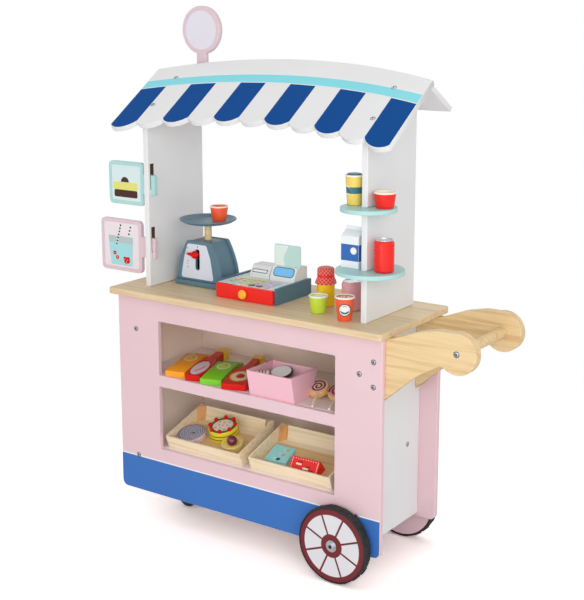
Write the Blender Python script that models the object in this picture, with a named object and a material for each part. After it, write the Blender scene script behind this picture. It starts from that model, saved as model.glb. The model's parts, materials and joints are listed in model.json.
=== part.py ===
"""Toy market cart: panels, canopy, signs, handle, wheels, scale, register, crates and toys."""

import math

import bmesh
import bpy
from mathutils import Vector
from mathutils.geometry import tessellate_polygon

# All lengths are in metres. The counter's middle is x = 0, y = 0 while the pieces are laid out,
# the floor is z = 0, the handle is at the +x end and customers stand at the -y side.
GAP = 0.0003
BORE = 0.0003
EDGE = 0.0012
FINE_EDGE = 0.0006
CORNER_STEPS = 5
TINY = 1e-7
HALF_TURN = math.pi
FULL_TURN = 2.0 * math.pi

COUNTER_W = 0.600
COUNTER_D = 0.237
COUNTER_T = 0.012
COUNTER_TOP = 0.456
COUNTER_CORNER = 0.006
COUNTER_UNDER = COUNTER_TOP - COUNTER_T

PANEL_W = COUNTER_W - 0.015
PANEL_T = 0.0105
PANEL_BOTTOM = 0.056
PANEL_CORNER = 0.012
FRONT_FACE_Y = -COUNTER_D / 2.0 + 0.0185
BACK_FACE_Y = COUNTER_D / 2.0 - 0.0125
INNER_FRONT = FRONT_FACE_Y + PANEL_T
INNER_BACK = BACK_FACE_Y - PANEL_T

WINDOW_LEFT = -PANEL_W / 2.0 + 0.098
WINDOW_RIGHT = PANEL_W / 2.0 - 0.093
WINDOW_CORNER = 0.002
UPPER_WINDOW_LOW = 0.296
UPPER_WINDOW_HIGH = 0.400
LOWER_WINDOW_LOW = 0.150
LOWER_WINDOW_HIGH = 0.2735

SIDE_OUTER = PANEL_W / 2.0 - 0.0359
SIDE_T = 0.011
SIDE_BOTTOM = 0.064
BOARD_T = 0.011
SHELF_X = SIDE_OUTER - SIDE_T - GAP
RAIL_BOTTOM = 0.056
RAIL_RIGHT = -SIDE_OUTER + 0.0716

POST_T = 0.011
LEFT_POST_X = -COUNTER_W / 2.0 + 0.054
RIGHT_POST_X = COUNTER_W / 2.0 - 0.068
POST_FRONT = -COUNTER_D / 2.0 + 0.0465
POST_BACK = COUNTER_D / 2.0 - 0.0285

ROOF_W = COUNTER_W
ROOF_ANGLE = math.radians(34.6)
ROOF_T = 0.010
ROOF_TOP_Y = 0.0390
ROOF_TOP_Z = COUNTER_TOP + 0.4024
ROOF_ARCH = 0.044
ROOF_LENGTH = 0.183
SCALLOPS = 11
SCALLOP_DEPTH = 0.014
SCALLOP_STEPS = 6
ARCH_STEPS = 24
BACK_ROOF_ANGLE = math.radians(30.6)
BACK_ROOF_T = 0.009
BACK_ROOF_LOW_Y = ROOF_TOP_Y + 0.0713
BACK_ROOF_TOP_Y = ROOF_TOP_Y + 0.0038
BACK_ROOF_TOP_Z = (ROOF_TOP_Z + math.tan(ROOF_ANGLE) * (BACK_ROOF_TOP_Y - ROOF_TOP_Y)
                   - ROOF_T / math.cos(ROOF_ANGLE))

SIGN_R = 0.0455
SIGN_FACE_R = 0.0375
SIGN_X = LEFT_POST_X + 0.0246
SIGN_Z = ROOF_TOP_Z + 0.0746
SIGN_Y = ROOF_TOP_Y + 0.033
SIGN_T = 0.011
SIGN_STEM = 0.022
SIGN_TENON = 0.014
SIGN_TENON_BELOW = 0.012
FACE_SINK = 0.0008

HOOK_Y = POST_FRONT + 0.0075
HOOK_T = 0.0085
HOOK_LIP = 0.012
HOOK_CORNER = 0.009
HOOK_BORDER = 0.007
MINT_RIGHT = LEFT_POST_X - 0.008
MINT_LEFT = MINT_RIGHT - 0.087
MINT_LOW = COUNTER_TOP + 0.151
MINT_HIGH = MINT_LOW + 0.082
MINT_TAB_LOW = MINT_LOW + 0.023
MINT_TAB_HIGH = MINT_TAB_LOW + 0.038
MINT_TAB_OUT = 0.009
MINT_SLOT_HIGH = MINT_TAB_HIGH + 0.021
PINK_RIGHT = LEFT_POST_X - 0.016
PINK_LEFT = PINK_RIGHT - 0.103
PINK_LOW = COUNTER_TOP + 0.020
PINK_HIGH = PINK_LOW + 0.101
PINK_TAB_LOW = PINK_LOW + 0.033
PINK_TAB_HIGH = PINK_TAB_LOW + 0.039
PINK_TAB_OUT = 0.007
PINK_SLOT_HIGH = PINK_TAB_HIGH + 0.021

ROUND_SHELF_X = RIGHT_POST_X + POST_T / 2.0
ROUND_SHELF_T = 0.0075
LOW_SHELF_R = 0.059
LOW_SHELF_Y = POST_FRONT + 0.021
LOW_SHELF_TOP = COUNTER_TOP + 0.090
HIGH_SHELF_R = 0.048
HIGH_SHELF_Y = POST_FRONT + 0.014
HIGH_SHELF_TOP = COUNTER_TOP + 0.197

ARM_T = 0.018
ARM_END_X = COUNTER_W / 2.0 + 0.122
ARM_END_Z = COUNTER_TOP - 0.0195
ARM_END_R = 0.035
ARM_LOW_Z = COUNTER_TOP - 0.149
ROD_R = 0.0095
ARM_RISE_X = COUNTER_W / 2.0 + 0.003
ARM_SHOULDER_X = COUNTER_W / 2.0 + 0.052
ARM_SHOULDER_Z = COUNTER_TOP + 0.0065
ARM_CREST_X = COUNTER_W / 2.0 + 0.088
ARM_CREST_Z = COUNTER_TOP + 0.014
ARM_NOTCH_X = COUNTER_W / 2.0 + 0.091
ARM_NOTCH_Z = COUNTER_TOP - 0.045
ARM_KNEE_X = COUNTER_W / 2.0 + 0.049
ARM_KNEE_Z = COUNTER_TOP - 0.069
ARM_SMALL_BEND = 0.020
ARM_BROAD_BEND = 0.060

DISC_R = 0.0654
DISC_T = 0.018
TYRE_INNER = DISC_R + GAP
TYRE_BASE = DISC_R + 0.0022
TYRE_R = 0.069
WHEEL_X = PANEL_W / 2.0 - 0.0815
WHEEL_Z = TYRE_R
TYRE_W = 0.020
TYRE_PROUD = 0.0005
TREAD_STEPS = 56
WHEEL_STEPS = 36
BORE_STEPS = 12
FRONT_WHEEL_Y = FRONT_FACE_Y - 0.0245
BACK_WHEEL_Y = BACK_FACE_Y + 0.0245
HUB_R = 0.011
AXLE_R = 0.004
FLANGE_R = 0.0105
FLANGE_T = 0.0012
HEAD_R = 0.0075
HEAD_T = 0.003

SWIVEL_X = -SIDE_OUTER + 0.0396
SWIVEL_Y = -0.006
CASTER_TRAIL = 0.012
CASTER_R = 0.021
CASTER_W = 0.016
CASTER_PIN_R = 0.0025
CASTER_PLATE = 0.040
CASTER_PLATE_T = 0.002
RACE_R = 0.013
RACE_T = 0.0025
FORK_TOP_R = 0.015
FORK_T = 0.0018
FORK_CLEAR = 0.001

# Where the finished box's middle lies in the layout, so that the part stands centred.
HANDLE_END = ARM_END_X + ARM_END_R
ORIGIN_X = (PINK_LEFT + HANDLE_END) / 2.0
AXLE_FRONT = FRONT_WHEEL_Y - GAP - FLANGE_T - HEAD_T
AXLE_BACK = BACK_WHEEL_Y + GAP + FLANGE_T + HEAD_T
ORIGIN_Y = (AXLE_FRONT + AXLE_BACK) / 2.0

SCALE_X = -COUNTER_W * 0.163 / 0.6
SCALE_BASE_W = 0.114
SCALE_BASE_T = 0.0087
SCALE_BASE_FRONT = -0.022
SCALE_BASE_BACK = 0.060
SCALE_PLATE_T = 0.006
SCALE_FRONT = -0.014
SCALE_BACK = 0.042
SCALE_FOOT_HALF = 0.054
SCALE_WAIST_HALF = 0.0455
SCALE_WAIST_Z = COUNTER_TOP + 0.051
SCALE_TOP_HALF = 0.0285
SCALE_TOP = COUNTER_TOP + 0.086
SCALE_CORNER = 0.007
SHELL_INSET = 0.004
SHELL_T = 0.004
SLOT_X = SCALE_X - 0.0035
SLOT_HALF = 0.0045
SLOT_LOW = COUNTER_TOP + 0.0305
SLOT_HIGH = COUNTER_TOP + 0.070
DOWEL_X = SCALE_X - 0.002
DOWEL_Y = 0.017
DOWEL_R = 0.007
DOWEL_LOW = COUNTER_TOP + 0.044
DISH_X = SCALE_X
DISH_Y = 0.015
DISH_R = 0.054
DISH_FLOOR_R = 0.043
DISH_UNDER = COUNTER_TOP + 0.118
DISH_FLOOR = DISH_UNDER + 0.0035
DISH_RIM = DISH_UNDER + 0.009
POINTER_PIN_R = 0.0025
POINTER_Z = COUNTER_TOP + 0.060
POINTER_T = 0.0045
POINTER_R = 0.0085
POINTER_KNOB_X = SLOT_X - 0.003
POINTER_TIP_X = SLOT_X - 0.0275
SPRING_R = 0.0075
SPRING_WIRE = 0.0009
SPRING_TURNS = 5
SPRING_STEPS = 10
SPRING_SIDES = 4

TRAY_LEFT = -COUNTER_W * 0.089 / 0.6
TRAY_RIGHT = TRAY_LEFT + 0.137
TRAY_FRONT = -0.056
TRAY_BACK = 0.053
TRAY_H = 0.0297
TRAY_WALL = 0.005
TRAY_FLOOR = 0.003
DRAWER_FRONT_Y = -0.063
DRAWER_FRONT_T = 0.0065
DRAWER_FRONT_H = 0.0267
DRAWER_WALL = 0.003
DRAWER_FLOOR = 0.0025
DRAWER_H = 0.019
DRAWER_DEPTH = 0.098
KNOB_R = 0.0085
KNOB_X = (TRAY_LEFT + TRAY_RIGHT) / 2.0
KNOB_Z = 0.0130
KNOB_OUT = 0.007
LID_T = 0.003
LID_TOP = 0.0275
PRINTER_LEFT = TRAY_LEFT + 0.030
PRINTER_RIGHT = PRINTER_LEFT + 0.0435
PRINTER_FRONT = 0.008
PRINTER_TOP = 0.0506
SCREEN_LEFT = PRINTER_RIGHT + 0.0035
SCREEN_FRONT = 0.005
SCREEN_TOP = 0.054
CARD_W = 0.058
CARD_X = SCREEN_LEFT + 0.0275
CARD_Y = 0.024
CARD_T = 0.002
CARD_TOP = 0.0935
CARD_SLOT = 0.007

CRATE_W = (WINDOW_RIGHT - WINDOW_LEFT) / 2.0 - 0.0202
CRATE_FRONT_LOW = -0.080
CRATE_FRONT_HIGH = -0.0885
CRATE_FRONT_H = 0.024
CRATE_BACK_H = 0.058
CRATE_BACK_LOW = 0.012
CRATE_BACK_HIGH = 0.020
CRATE_WALL = 0.004
CRATE_FLOOR_RISE = 0.026
CORNER_BLOCK = 0.012
LEFT_CRATE_X = WINDOW_LEFT + 0.0043 + CRATE_W / 2.0
RIGHT_CRATE_X = WINDOW_RIGHT - 0.0169 - CRATE_W / 2.0
BOX_X = WINDOW_LEFT + 0.2585
BOX_W = 0.097
BOX_H = 0.048
BOX_WALL = 0.004
BOX_FRONT_LOW = -0.094
BOX_FRONT_HIGH = -0.104
BOX_BACK_LOW = -0.040
BOX_BACK_HIGH = -0.022

# The cake lies on the left crate's sloping floor, at its distance up the slope.
CAKE_X = LEFT_CRATE_X + 0.0008
CAKE_ALONG = 0.0635
CAKE_R = 0.0285
CAKE_H = 0.0230
CAKE_STEPS = 24
BERRIES = 8
BERRY_R = 0.0042
BERRY_RING = CAKE_R - 0.0038
BERRY_STEPS = 6

CUP_STEPS = 16
ROUND_STEPS = 32
CUP_SINK = 0.0035
CUP_WALL = 0.0016
FLAT_TOY_T = 0.019

# Loose toys: each has its place on the layout and its own few sizes.
DISH_CUP_X = SCALE_X + 0.027
DISH_CUP_FOOT = 0.0125
DISH_CUP_RIM = 0.0175
DISH_CUP_H = 0.032
LIME_CUP_X = COUNTER_W * 0.1335 / 0.6
LIME_CUP_Y = -0.0515
LIME_CUP_FOOT = 0.0133
LIME_CUP_RIM = 0.0170
LIME_CUP_H = 0.031
ORANGE_CUP_X = COUNTER_W * 0.200 / 0.6
ORANGE_CUP_Y = -0.071
ORANGE_CUP_FOOT = 0.0122
ORANGE_CUP_RIM = 0.0175
ORANGE_CUP_H = 0.042
RED_CUP_X = ROUND_SHELF_X + 0.0285
RED_CUP_Y = HIGH_SHELF_Y + 0.004
RED_CUP_FOOT = 0.0137
RED_CUP_RIM = 0.0190
RED_CUP_H = 0.027
PINK_CAN_X = COUNTER_W * 0.171 / 0.6
PINK_CAN_Y = -0.002
PINK_CAN_R = 0.018
PINK_CAN_H = 0.052
RED_CAN_X = ROUND_SHELF_X + 0.0305
RED_CAN_Y = LOW_SHELF_Y - 0.0065
RED_CAN_R = 0.017
RED_CAN_H = 0.055
YELLOW_CAN_X = ROUND_SHELF_X - 0.0295
YELLOW_CAN_Y = HIGH_SHELF_Y + 0.002
YELLOW_CAN_R = 0.0136
YELLOW_CAN_H = 0.053
BOTTLE_X = COUNTER_W * 0.117 / 0.6
BOTTLE_Y = -0.003
BOTTLE_R = 0.0145
BOTTLE_H = 0.070
BOTTLE_SHOULDER = 0.042
BOTTLE_COLLAR_R = 0.0195
BOTTLE_COLLAR_Z = 0.049
BOTTLE_COLLAR_T = 0.0015
MILK_X = ROUND_SHELF_X - 0.0490
MILK_Y = LOW_SHELF_Y - 0.015
MILK_W = 0.035
MILK_SHOULDER = 0.050
MILK_FOLD = 0.062
MILK_H = 0.069
MILK_FIN = 0.0021
JUICE_Y = -0.093
ORANGE_CARTON_X = WINDOW_LEFT + 0.0340
ORANGE_CARTON_W = 0.040
ORANGE_CARTON_L = 0.128
ORANGE_CARTON_TURN = math.radians(14.0)
GREEN_CARTON_X = ORANGE_CARTON_X + 0.0850
GREEN_CARTON_W = 0.042
GREEN_CARTON_L = 0.122
GREEN_CARTON_TURN = math.radians(16.5)
CARTON_FIN_T = 0.0105
CARTON_NARROW = 0.002
SAUCE_Y = -0.094
SLIM_X = ORANGE_CARTON_X + 0.0425
SLIM_TURN = math.radians(16.3)
SLIM_FOOT = 0.0150
SLIM_BELLY = 0.0195
SLIM_NECK = 0.0085
SLIM_L = 0.165
WIDE_X = GREEN_CARTON_X + 0.0540
WIDE_TURN = math.radians(20.0)
WIDE_FOOT = 0.0245
WIDE_BELLY = 0.0255
WIDE_NECK = 0.0080
WIDE_L = 0.170
SAUCE_CAP_OUT = 0.002
SAUCE_CAP_L = 0.026
SAUCE_BEND = 0.020
SAUCE_CORNER = 0.004
SAUCE_STEPS = 2


def clear_scene():
    """Start from an empty scene."""
    for item in list(bpy.data.objects):
        bpy.data.objects.remove(item, do_unlink=True)


def paint(name, colour, roughness=0.45, metallic=0.0):
    """Make the one material of a piece."""
    finish = bpy.data.materials.new(name + "_finish")
    finish.use_nodes = True
    shader = finish.node_tree.nodes["Principled BSDF"]
    shader.inputs["Base Color"].default_value = (*colour, 1.0)
    shader.inputs["Roughness"].default_value = roughness
    shader.inputs["Metallic"].default_value = metallic
    return finish


def linear(code):
    """Turn a screen colour such as "EBCBD2" into the linear values that a shader takes."""
    values = []
    for start in (0, 2, 4):
        level = int(code[start:start + 2], 16) / 255.0
        values.append(((level + 0.055) / 1.055) ** 2.4 if level > 0.04045 else level / 12.92)
    return tuple(values)


def body(name, shape, code, pivot=(0.0, 0.0, 0.0), roughness=0.45, metallic=0.0):
    """Make one closed object from points and faces, with its origin at the pivot."""
    points, faces = shape
    mesh = bpy.data.meshes.new(name)
    mesh.from_pydata([Vector(point) - Vector(pivot) for point in points], [], faces)
    work = bmesh.new()
    work.from_mesh(mesh)
    bmesh.ops.recalc_face_normals(work, faces=work.faces)
    work.to_mesh(mesh)
    work.free()
    mesh.materials.append(paint(name, linear(code), roughness, metallic))
    item = bpy.data.objects.new(name, mesh)
    bpy.context.scene.collection.objects.link(item)
    item.location = Vector(pivot) - Vector((ORIGIN_X, ORIGIN_Y, 0.0))
    return item


def combine(item, shape, operation):
    """Join a second closed shape to an object, or cut it out, and drop the helper."""
    pivot = item.location + Vector((ORIGIN_X, ORIGIN_Y, 0.0))
    helper = body(item.name + "_helper", shape, "808080", pivot)
    step = item.modifiers.new("shape", "BOOLEAN")
    step.object = helper
    step.operation = operation
    step.solver = "EXACT"
    graph = bpy.context.evaluated_depsgraph_get()
    graph.update()
    finished = bpy.data.meshes.new_from_object(item.evaluated_get(graph))
    item.modifiers.clear()
    former = item.data
    item.data = finished
    bpy.data.meshes.remove(former)
    helper_mesh = helper.data
    bpy.data.objects.remove(helper, do_unlink=True)
    bpy.data.meshes.remove(helper_mesh)
    item.data.materials.clear()
    item.data.materials.append(bpy.data.materials[item.name + "_finish"])


def facing_front(y):
    """Lay an outline in x and z, with its depth going from y towards the back."""
    return lambda u, v, w: (u, y + w, v)


def lying(z):
    """Lay an outline in x and y, with its depth going up from z."""
    return lambda u, v, w: (u, v, z + w)


def facing_side(x):
    """Lay an outline in y and z, with its depth going along +x."""
    return lambda u, v, w: (x + w, u, v)


def lying_turned(x, y, angle, z):
    """Lay an outline flat with its own base at x and y, turned about the vertical."""
    cos_a = math.cos(angle)
    sin_a = math.sin(angle)
    return lambda u, v, w: (x + u * cos_a - v * sin_a, y + u * sin_a + v * cos_a, z + w)


def standing(x, y, z):
    """Put a turned shape upright with its foot at x, y and z."""
    return lambda u, v, w: (x + u, y + v, z + w)


def across(x, y, z):
    """Put a turned shape on an axis along y, its height going towards the back."""
    return lambda u, v, w: (x + u, y + w, z + v)


def arc(centre_u, centre_v, radius, start, end, steps):
    """Points on a round stretch from one angle to another."""
    points = []
    for index in range(steps + 1):
        angle = start + (end - start) * index / steps
        points.append((centre_u + radius * math.cos(angle), centre_v + radius * math.sin(angle)))
    return points


def circle(centre_u, centre_v, radius, steps):
    """A full round outline."""
    return arc(centre_u, centre_v, radius, 0.0, FULL_TURN, steps)[:-1]


def rounded(corners, steps=CORNER_STEPS):
    """Round the corners of an outline, each by its own radius."""
    points = []
    count = len(corners)
    for index in range(count):
        here = Vector(corners[index][:2])
        radius = corners[index][2]
        before = (Vector(corners[index - 1][:2]) - here).normalized()
        after = (Vector(corners[(index + 1) % count][:2]) - here).normalized()
        opening = before.angle(after)
        if radius <= 0.0 or HALF_TURN - opening < TINY:
            points.append(tuple(here))
            continue
        reach = radius / math.tan(opening / 2.0)
        middle = here + (before + after).normalized() * (radius / math.sin(opening / 2.0))
        first = here + before * reach - middle
        turn = first.angle_signed(here + after * reach - middle)
        for step in range(steps + 1):
            angle = -turn * step / steps
            cos_a = math.cos(angle)
            sin_a = math.sin(angle)
            spun = Vector((first.x * cos_a - first.y * sin_a, first.x * sin_a + first.y * cos_a))
            points.append(tuple(middle + spun))
    return points


def rectangle(left, right, low, high, radius=0.0, steps=CORNER_STEPS):
    """A rectangular outline with four equal corners."""
    return rounded([(left, low, radius), (right, low, radius),
                    (right, high, radius), (left, high, radius)], steps)


def area(loop):
    """Signed area of a closed outline."""
    total = 0.0
    for index, point in enumerate(loop):
        before = loop[index - 1]
        total += before[0] * point[1] - point[0] * before[1]
    return total / 2.0


def wound(loop, outer):
    """Run an outline so that the material is on its left."""
    if (area(loop) > 0.0) == outer:
        return [Vector(point) for point in loop]
    return [Vector(point) for point in reversed(loop)]


def shifted(loop, amount):
    """Move every side of an outline into the material by the same distance."""
    moved = []
    count = len(loop)
    for index in range(count):
        here = loop[index]
        first = (here - loop[index - 1]).normalized()
        second = (loop[(index + 1) % count] - here).normalized()
        side_a = Vector((-first.y, first.x))
        side_b = Vector((-second.y, second.x))
        moved.append(here + (side_a + side_b) * (amount / (1.0 + side_a.dot(side_b))))
    return moved


def cap_faces(loops, offset):
    """Fill a flat outline with holes; one outline alone stays one face."""
    if len(loops) == 1:
        return [tuple(range(offset, offset + len(loops[0])))]
    flat = [[point.to_3d() for point in loop] for loop in loops]
    return [tuple(offset + index for index in face) for face in tessellate_polygon(flat)]


def slab(outline, thick, place, holes=(), edge=EDGE, recess=None, sink=0.0):
    """A board of even thickness with eased edges, holes, and a sunk face on its near side."""
    loops = [wound(outline, True)] + [wound(hole, False) for hole in holes]
    levels = [(0.0, edge), (edge, 0.0), (thick - edge, 0.0), (thick, edge)]
    points = []
    faces = []
    starts = []
    for depth, inset in levels:
        for loop in loops:
            starts.append(len(points))
            points.extend(place(point.x, point.y, depth) for point in shifted(loop, inset))
    count = len(loops)
    for level in range(len(levels) - 1):
        for index, loop in enumerate(loops):
            low = starts[level * count + index]
            high = starts[(level + 1) * count + index]
            size = len(loop)
            for here in range(size):
                after = (here + 1) % size
                faces.append((low + here, low + after, high + after, high + here))
    near = [shifted(loop, edge) for loop in loops]
    last = starts[(len(levels) - 1) * count]
    faces.extend(cap_faces(near, last))
    if recess is None:
        faces.extend(cap_faces(near, 0))
        return points, faces
    well = wound(recess, False)
    rim = len(points)
    floor = rim + len(well)
    points.extend(place(point.x, point.y, 0.0) for point in well)
    points.extend(place(point.x, point.y, sink) for point in well)
    near_count = sum(len(loop) for loop in near)
    for face in cap_faces(near + [well], 0):
        faces.append(tuple(index if index < near_count else index - near_count + rim for index in face))
    size = len(well)
    for here in range(size):
        after = (here + 1) % size
        faces.append((rim + here, rim + after, floor + after, floor + here))
    faces.append(tuple(range(floor, floor + size)))
    return points, faces


def join_rows(lower, upper):
    """Faces between two rings of points, where a ring may be a single point."""
    if len(lower) == 1 and len(upper) == 1:
        return []
    size = max(len(lower), len(upper))
    faces = []
    for here in range(size):
        after = (here + 1) % size
        if len(lower) == 1:
            faces.append((lower[0], upper[after], upper[here]))
        elif len(upper) == 1:
            faces.append((lower[here], lower[after], upper[0]))
        else:
            faces.append((lower[here], lower[after], upper[after], upper[here]))
    return faces


def turned(profile, place, steps=CUP_STEPS, ring=False):
    """Turn a profile of radius and height about its axis; a ring closes on itself."""
    points = []
    rows = []
    for radius, height in profile:
        if radius <= TINY:
            rows.append([len(points)])
            points.append(place(0.0, 0.0, height))
            continue
        rows.append(list(range(len(points), len(points) + steps)))
        for u, v in circle(0.0, 0.0, radius, steps):
            points.append(place(u, v, height))
    faces = []
    for lower, upper in zip(rows, rows[1:]):
        faces.extend(join_rows(lower, upper))
    if ring:
        faces.extend(join_rows(rows[-1], rows[0]))
    return points, faces


def loft(rings):
    """Skin a run of equal rings of points and close both ends."""
    points = [point for ring in rings for point in ring]
    size = len(rings[0])
    rows = [list(range(index * size, (index + 1) * size)) for index in range(len(rings))]
    faces = [tuple(rows[0]), tuple(rows[-1])]
    for lower, upper in zip(rows, rows[1:]):
        faces.extend(join_rows(lower, upper))
    return points, faces


def build_cart_body():
    """Panels, counter, shelf, deck and the rail over the caster."""
    half = PANEL_W / 2.0
    top = COUNTER_UNDER - GAP
    panel = rounded([(-half, PANEL_BOTTOM, PANEL_CORNER), (half, PANEL_BOTTOM, PANEL_CORNER),
                     (half, top, 0.0), (-half, top, 0.0)])
    upper = rectangle(WINDOW_LEFT, WINDOW_RIGHT, UPPER_WINDOW_LOW, UPPER_WINDOW_HIGH, WINDOW_CORNER, 2)
    lower = rectangle(WINDOW_LEFT, WINDOW_RIGHT, LOWER_WINDOW_LOW, LOWER_WINDOW_HIGH, WINDOW_CORNER, 2)
    bore = circle(WHEEL_X, WHEEL_Z, AXLE_R + BORE, BORE_STEPS)
    body("front_panel", slab(panel, PANEL_T, facing_front(FRONT_FACE_Y), [upper, lower, bore]), "EBCBD2")
    body("back_panel", slab(panel, PANEL_T, facing_front(INNER_BACK), [bore]), "EBCBD2")
    side = rectangle(INNER_FRONT + GAP, INNER_BACK - GAP, SIDE_BOTTOM, top)
    body("left_side_panel", slab(side, SIDE_T, facing_side(-SIDE_OUTER)), "E6E6E6")
    body("right_side_panel", slab(side, SIDE_T, facing_side(SIDE_OUTER - SIDE_T)), "E6E6E6")
    counter = rectangle(-COUNTER_W / 2.0, COUNTER_W / 2.0, -COUNTER_D / 2.0, COUNTER_D / 2.0, COUNTER_CORNER)
    body("counter_top", slab(counter, COUNTER_T, lying(COUNTER_UNDER)), "EBCB95")
    board = rectangle(-SHELF_X, SHELF_X, INNER_FRONT + GAP, INNER_BACK - GAP)
    body("middle_shelf", slab(board, BOARD_T, lying(UPPER_WINDOW_LOW - BOARD_T)), "E2DFDF")
    body("bottom_deck", slab(board, BOARD_T, lying(LOWER_WINDOW_LOW - BOARD_T)), "E2DFDF")
    rail = rectangle(-SHELF_X, RAIL_RIGHT, INNER_FRONT + GAP, INNER_BACK - GAP)
    body("caster_rail", slab(rail, BOARD_T, lying(RAIL_BOTTOM)), "E6E6E6")


def roof_under(y):
    """Height of the canopy's underside over a depth position, less the gap to it."""
    front = ROOF_TOP_Z + math.tan(ROOF_ANGLE) * (y - ROOF_TOP_Y) - ROOF_T / math.cos(ROOF_ANGLE)
    back = (BACK_ROOF_TOP_Z - math.tan(BACK_ROOF_ANGLE) * (y - BACK_ROOF_TOP_Y)
            - BACK_ROOF_T / math.cos(BACK_ROOF_ANGLE))
    return min(front, back) - GAP / math.cos(ROOF_ANGLE)


def ridge_y():
    """Depth position where the two undersides meet."""
    front = ROOF_TOP_Z - math.tan(ROOF_ANGLE) * ROOF_TOP_Y - ROOF_T / math.cos(ROOF_ANGLE)
    back = (BACK_ROOF_TOP_Z + math.tan(BACK_ROOF_ANGLE) * BACK_ROOF_TOP_Y
            - BACK_ROOF_T / math.cos(BACK_ROOF_ANGLE))
    return (back - front) / (math.tan(ROOF_ANGLE) + math.tan(BACK_ROOF_ANGLE))


def hook_slot(tab_low, slot_high):
    """The opening in the left post that takes a sign's hook."""
    return rectangle(HOOK_Y - GAP, HOOK_Y + HOOK_T + GAP, tab_low + HOOK_LIP - GAP, slot_high, 0.0)


def halving(shelf_r, shelf_y):
    """Depth position where a round shelf and the post's front edge share their cuts."""
    return (POST_FRONT + shelf_y + shelf_r) / 2.0


def build_posts():
    """Two canopy posts; the left one is slotted for signs, the right one halved for shelves."""
    foot = COUNTER_TOP + GAP
    roof_line = [(POST_BACK, foot, 0.0), (POST_BACK, roof_under(POST_BACK), 0.0),
                 (ridge_y(), roof_under(ridge_y()), 0.0), (POST_FRONT, roof_under(POST_FRONT), 0.0)]
    plain = rounded([(POST_FRONT, foot, 0.0)] + roof_line)
    slots = [hook_slot(MINT_TAB_LOW, MINT_SLOT_HIGH), hook_slot(PINK_TAB_LOW, PINK_SLOT_HIGH)]
    body("left_post", slab(plain, POST_T, facing_side(LEFT_POST_X), slots), "E6E6E6")
    notched = list(roof_line)
    for top, radius, middle in ((HIGH_SHELF_TOP, HIGH_SHELF_R, HIGH_SHELF_Y),
                                (LOW_SHELF_TOP, LOW_SHELF_R, LOW_SHELF_Y)):
        deep = halving(radius, middle) + GAP / 2.0
        low = top - ROUND_SHELF_T - GAP
        notched.extend([(POST_FRONT, top + GAP, 0.0), (deep, top + GAP, 0.0),
                        (deep, low, 0.0), (POST_FRONT, low, 0.0)])
    notched.append((POST_FRONT, foot, 0.0))
    body("right_post", slab(rounded(notched), POST_T, facing_side(RIGHT_POST_X)), "E6E6E6")


def round_shelf(name, radius, centre_y, top):
    """A round shelf slit from behind so that it slides into the post's notch."""
    half = POST_T / 2.0 + GAP
    lean = math.asin(half / radius)
    behind = HALF_TURN / 2.0
    rim = arc(ROUND_SHELF_X, centre_y, radius, behind + lean, behind + FULL_TURN - lean, ROUND_STEPS)
    slit = halving(radius, centre_y) - GAP / 2.0
    outline = rim + [(ROUND_SHELF_X + half, slit), (ROUND_SHELF_X - half, slit)]
    body(name, slab(outline, ROUND_SHELF_T, lying(top - ROUND_SHELF_T)), "AEDDDB")


def arch(x):
    """Rise of the front roof board's top edge over its corners."""
    half = ROOF_W / 2.0
    radius = (half * half + ROOF_ARCH * ROOF_ARCH) / (2.0 * ROOF_ARCH)
    return ROOF_ARCH - radius + math.sqrt(radius * radius - x * x)


def scallop_drop(t):
    """How far a lobe hangs below its ends, as a round arc over its width."""
    half = ROOF_W / SCALLOPS / 2.0
    radius = (half * half + SCALLOP_DEPTH * SCALLOP_DEPTH) / (2.0 * SCALLOP_DEPTH)
    across_lobe = (2.0 * t - 1.0) * half
    return math.sqrt(radius * radius - across_lobe * across_lobe) - radius + SCALLOP_DEPTH


def build_roof():
    """The arched and scalloped front board, and the plain back board with a mortise."""
    half = ROOF_W / 2.0
    outline = []
    for index in range(ARCH_STEPS + 1):
        x = -half + ROOF_W * index / ARCH_STEPS
        outline.append((x, arch(x)))
    pitch = ROOF_W / SCALLOPS
    for lobe in range(SCALLOPS):
        first = 0 if lobe == 0 else 1
        for step in range(first, SCALLOP_STEPS + 1):
            t = step / SCALLOP_STEPS
            x = half - pitch * (lobe + t)
            outline.append((x, arch(x) - ROOF_LENGTH + SCALLOP_DEPTH - scallop_drop(t)))
    cos_a = math.cos(ROOF_ANGLE)
    sin_a = math.sin(ROOF_ANGLE)

    def sloped(u, v, w):
        return u, ROOF_TOP_Y + v * cos_a + w * sin_a, ROOF_TOP_Z + v * sin_a - w * cos_a

    body("front_roof_board", slab(outline, ROOF_T, sloped, edge=FINE_EDGE), "E6E6E6")
    slope = math.tan(BACK_ROOF_ANGLE)
    normal_y = math.sin(BACK_ROOF_ANGLE) * BACK_ROOF_T
    normal_z = math.cos(BACK_ROOF_ANGLE) * BACK_ROOF_T
    low_z = BACK_ROOF_TOP_Z - slope * (BACK_ROOF_LOW_Y - BACK_ROOF_TOP_Y)
    shift = GAP / math.sin(ROOF_ANGLE)
    section = [(BACK_ROOF_TOP_Y + shift, BACK_ROOF_TOP_Z - shift * slope),
               (BACK_ROOF_LOW_Y, low_z),
               (BACK_ROOF_LOW_Y - normal_y, low_z - normal_z),
               (ridge_y() + shift, roof_under(ridge_y()) + GAP / math.cos(ROOF_ANGLE) - shift * slope)]
    back = body("back_roof_board", slab(section, ROOF_W, facing_side(-half), edge=FINE_EDGE), "E6E6E6")
    tenon = SIGN_TENON / 2.0 + GAP
    mortise = slab(rectangle(SIGN_X - tenon, SIGN_X + tenon, SIGN_Y - GAP, SIGN_Y + SIGN_T + GAP),
                   SIGN_R, lying(roof_under(SIGN_Y + SIGN_T) - BACK_ROOF_T), edge=0.0)
    combine(back, mortise, "DIFFERENCE")


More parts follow.
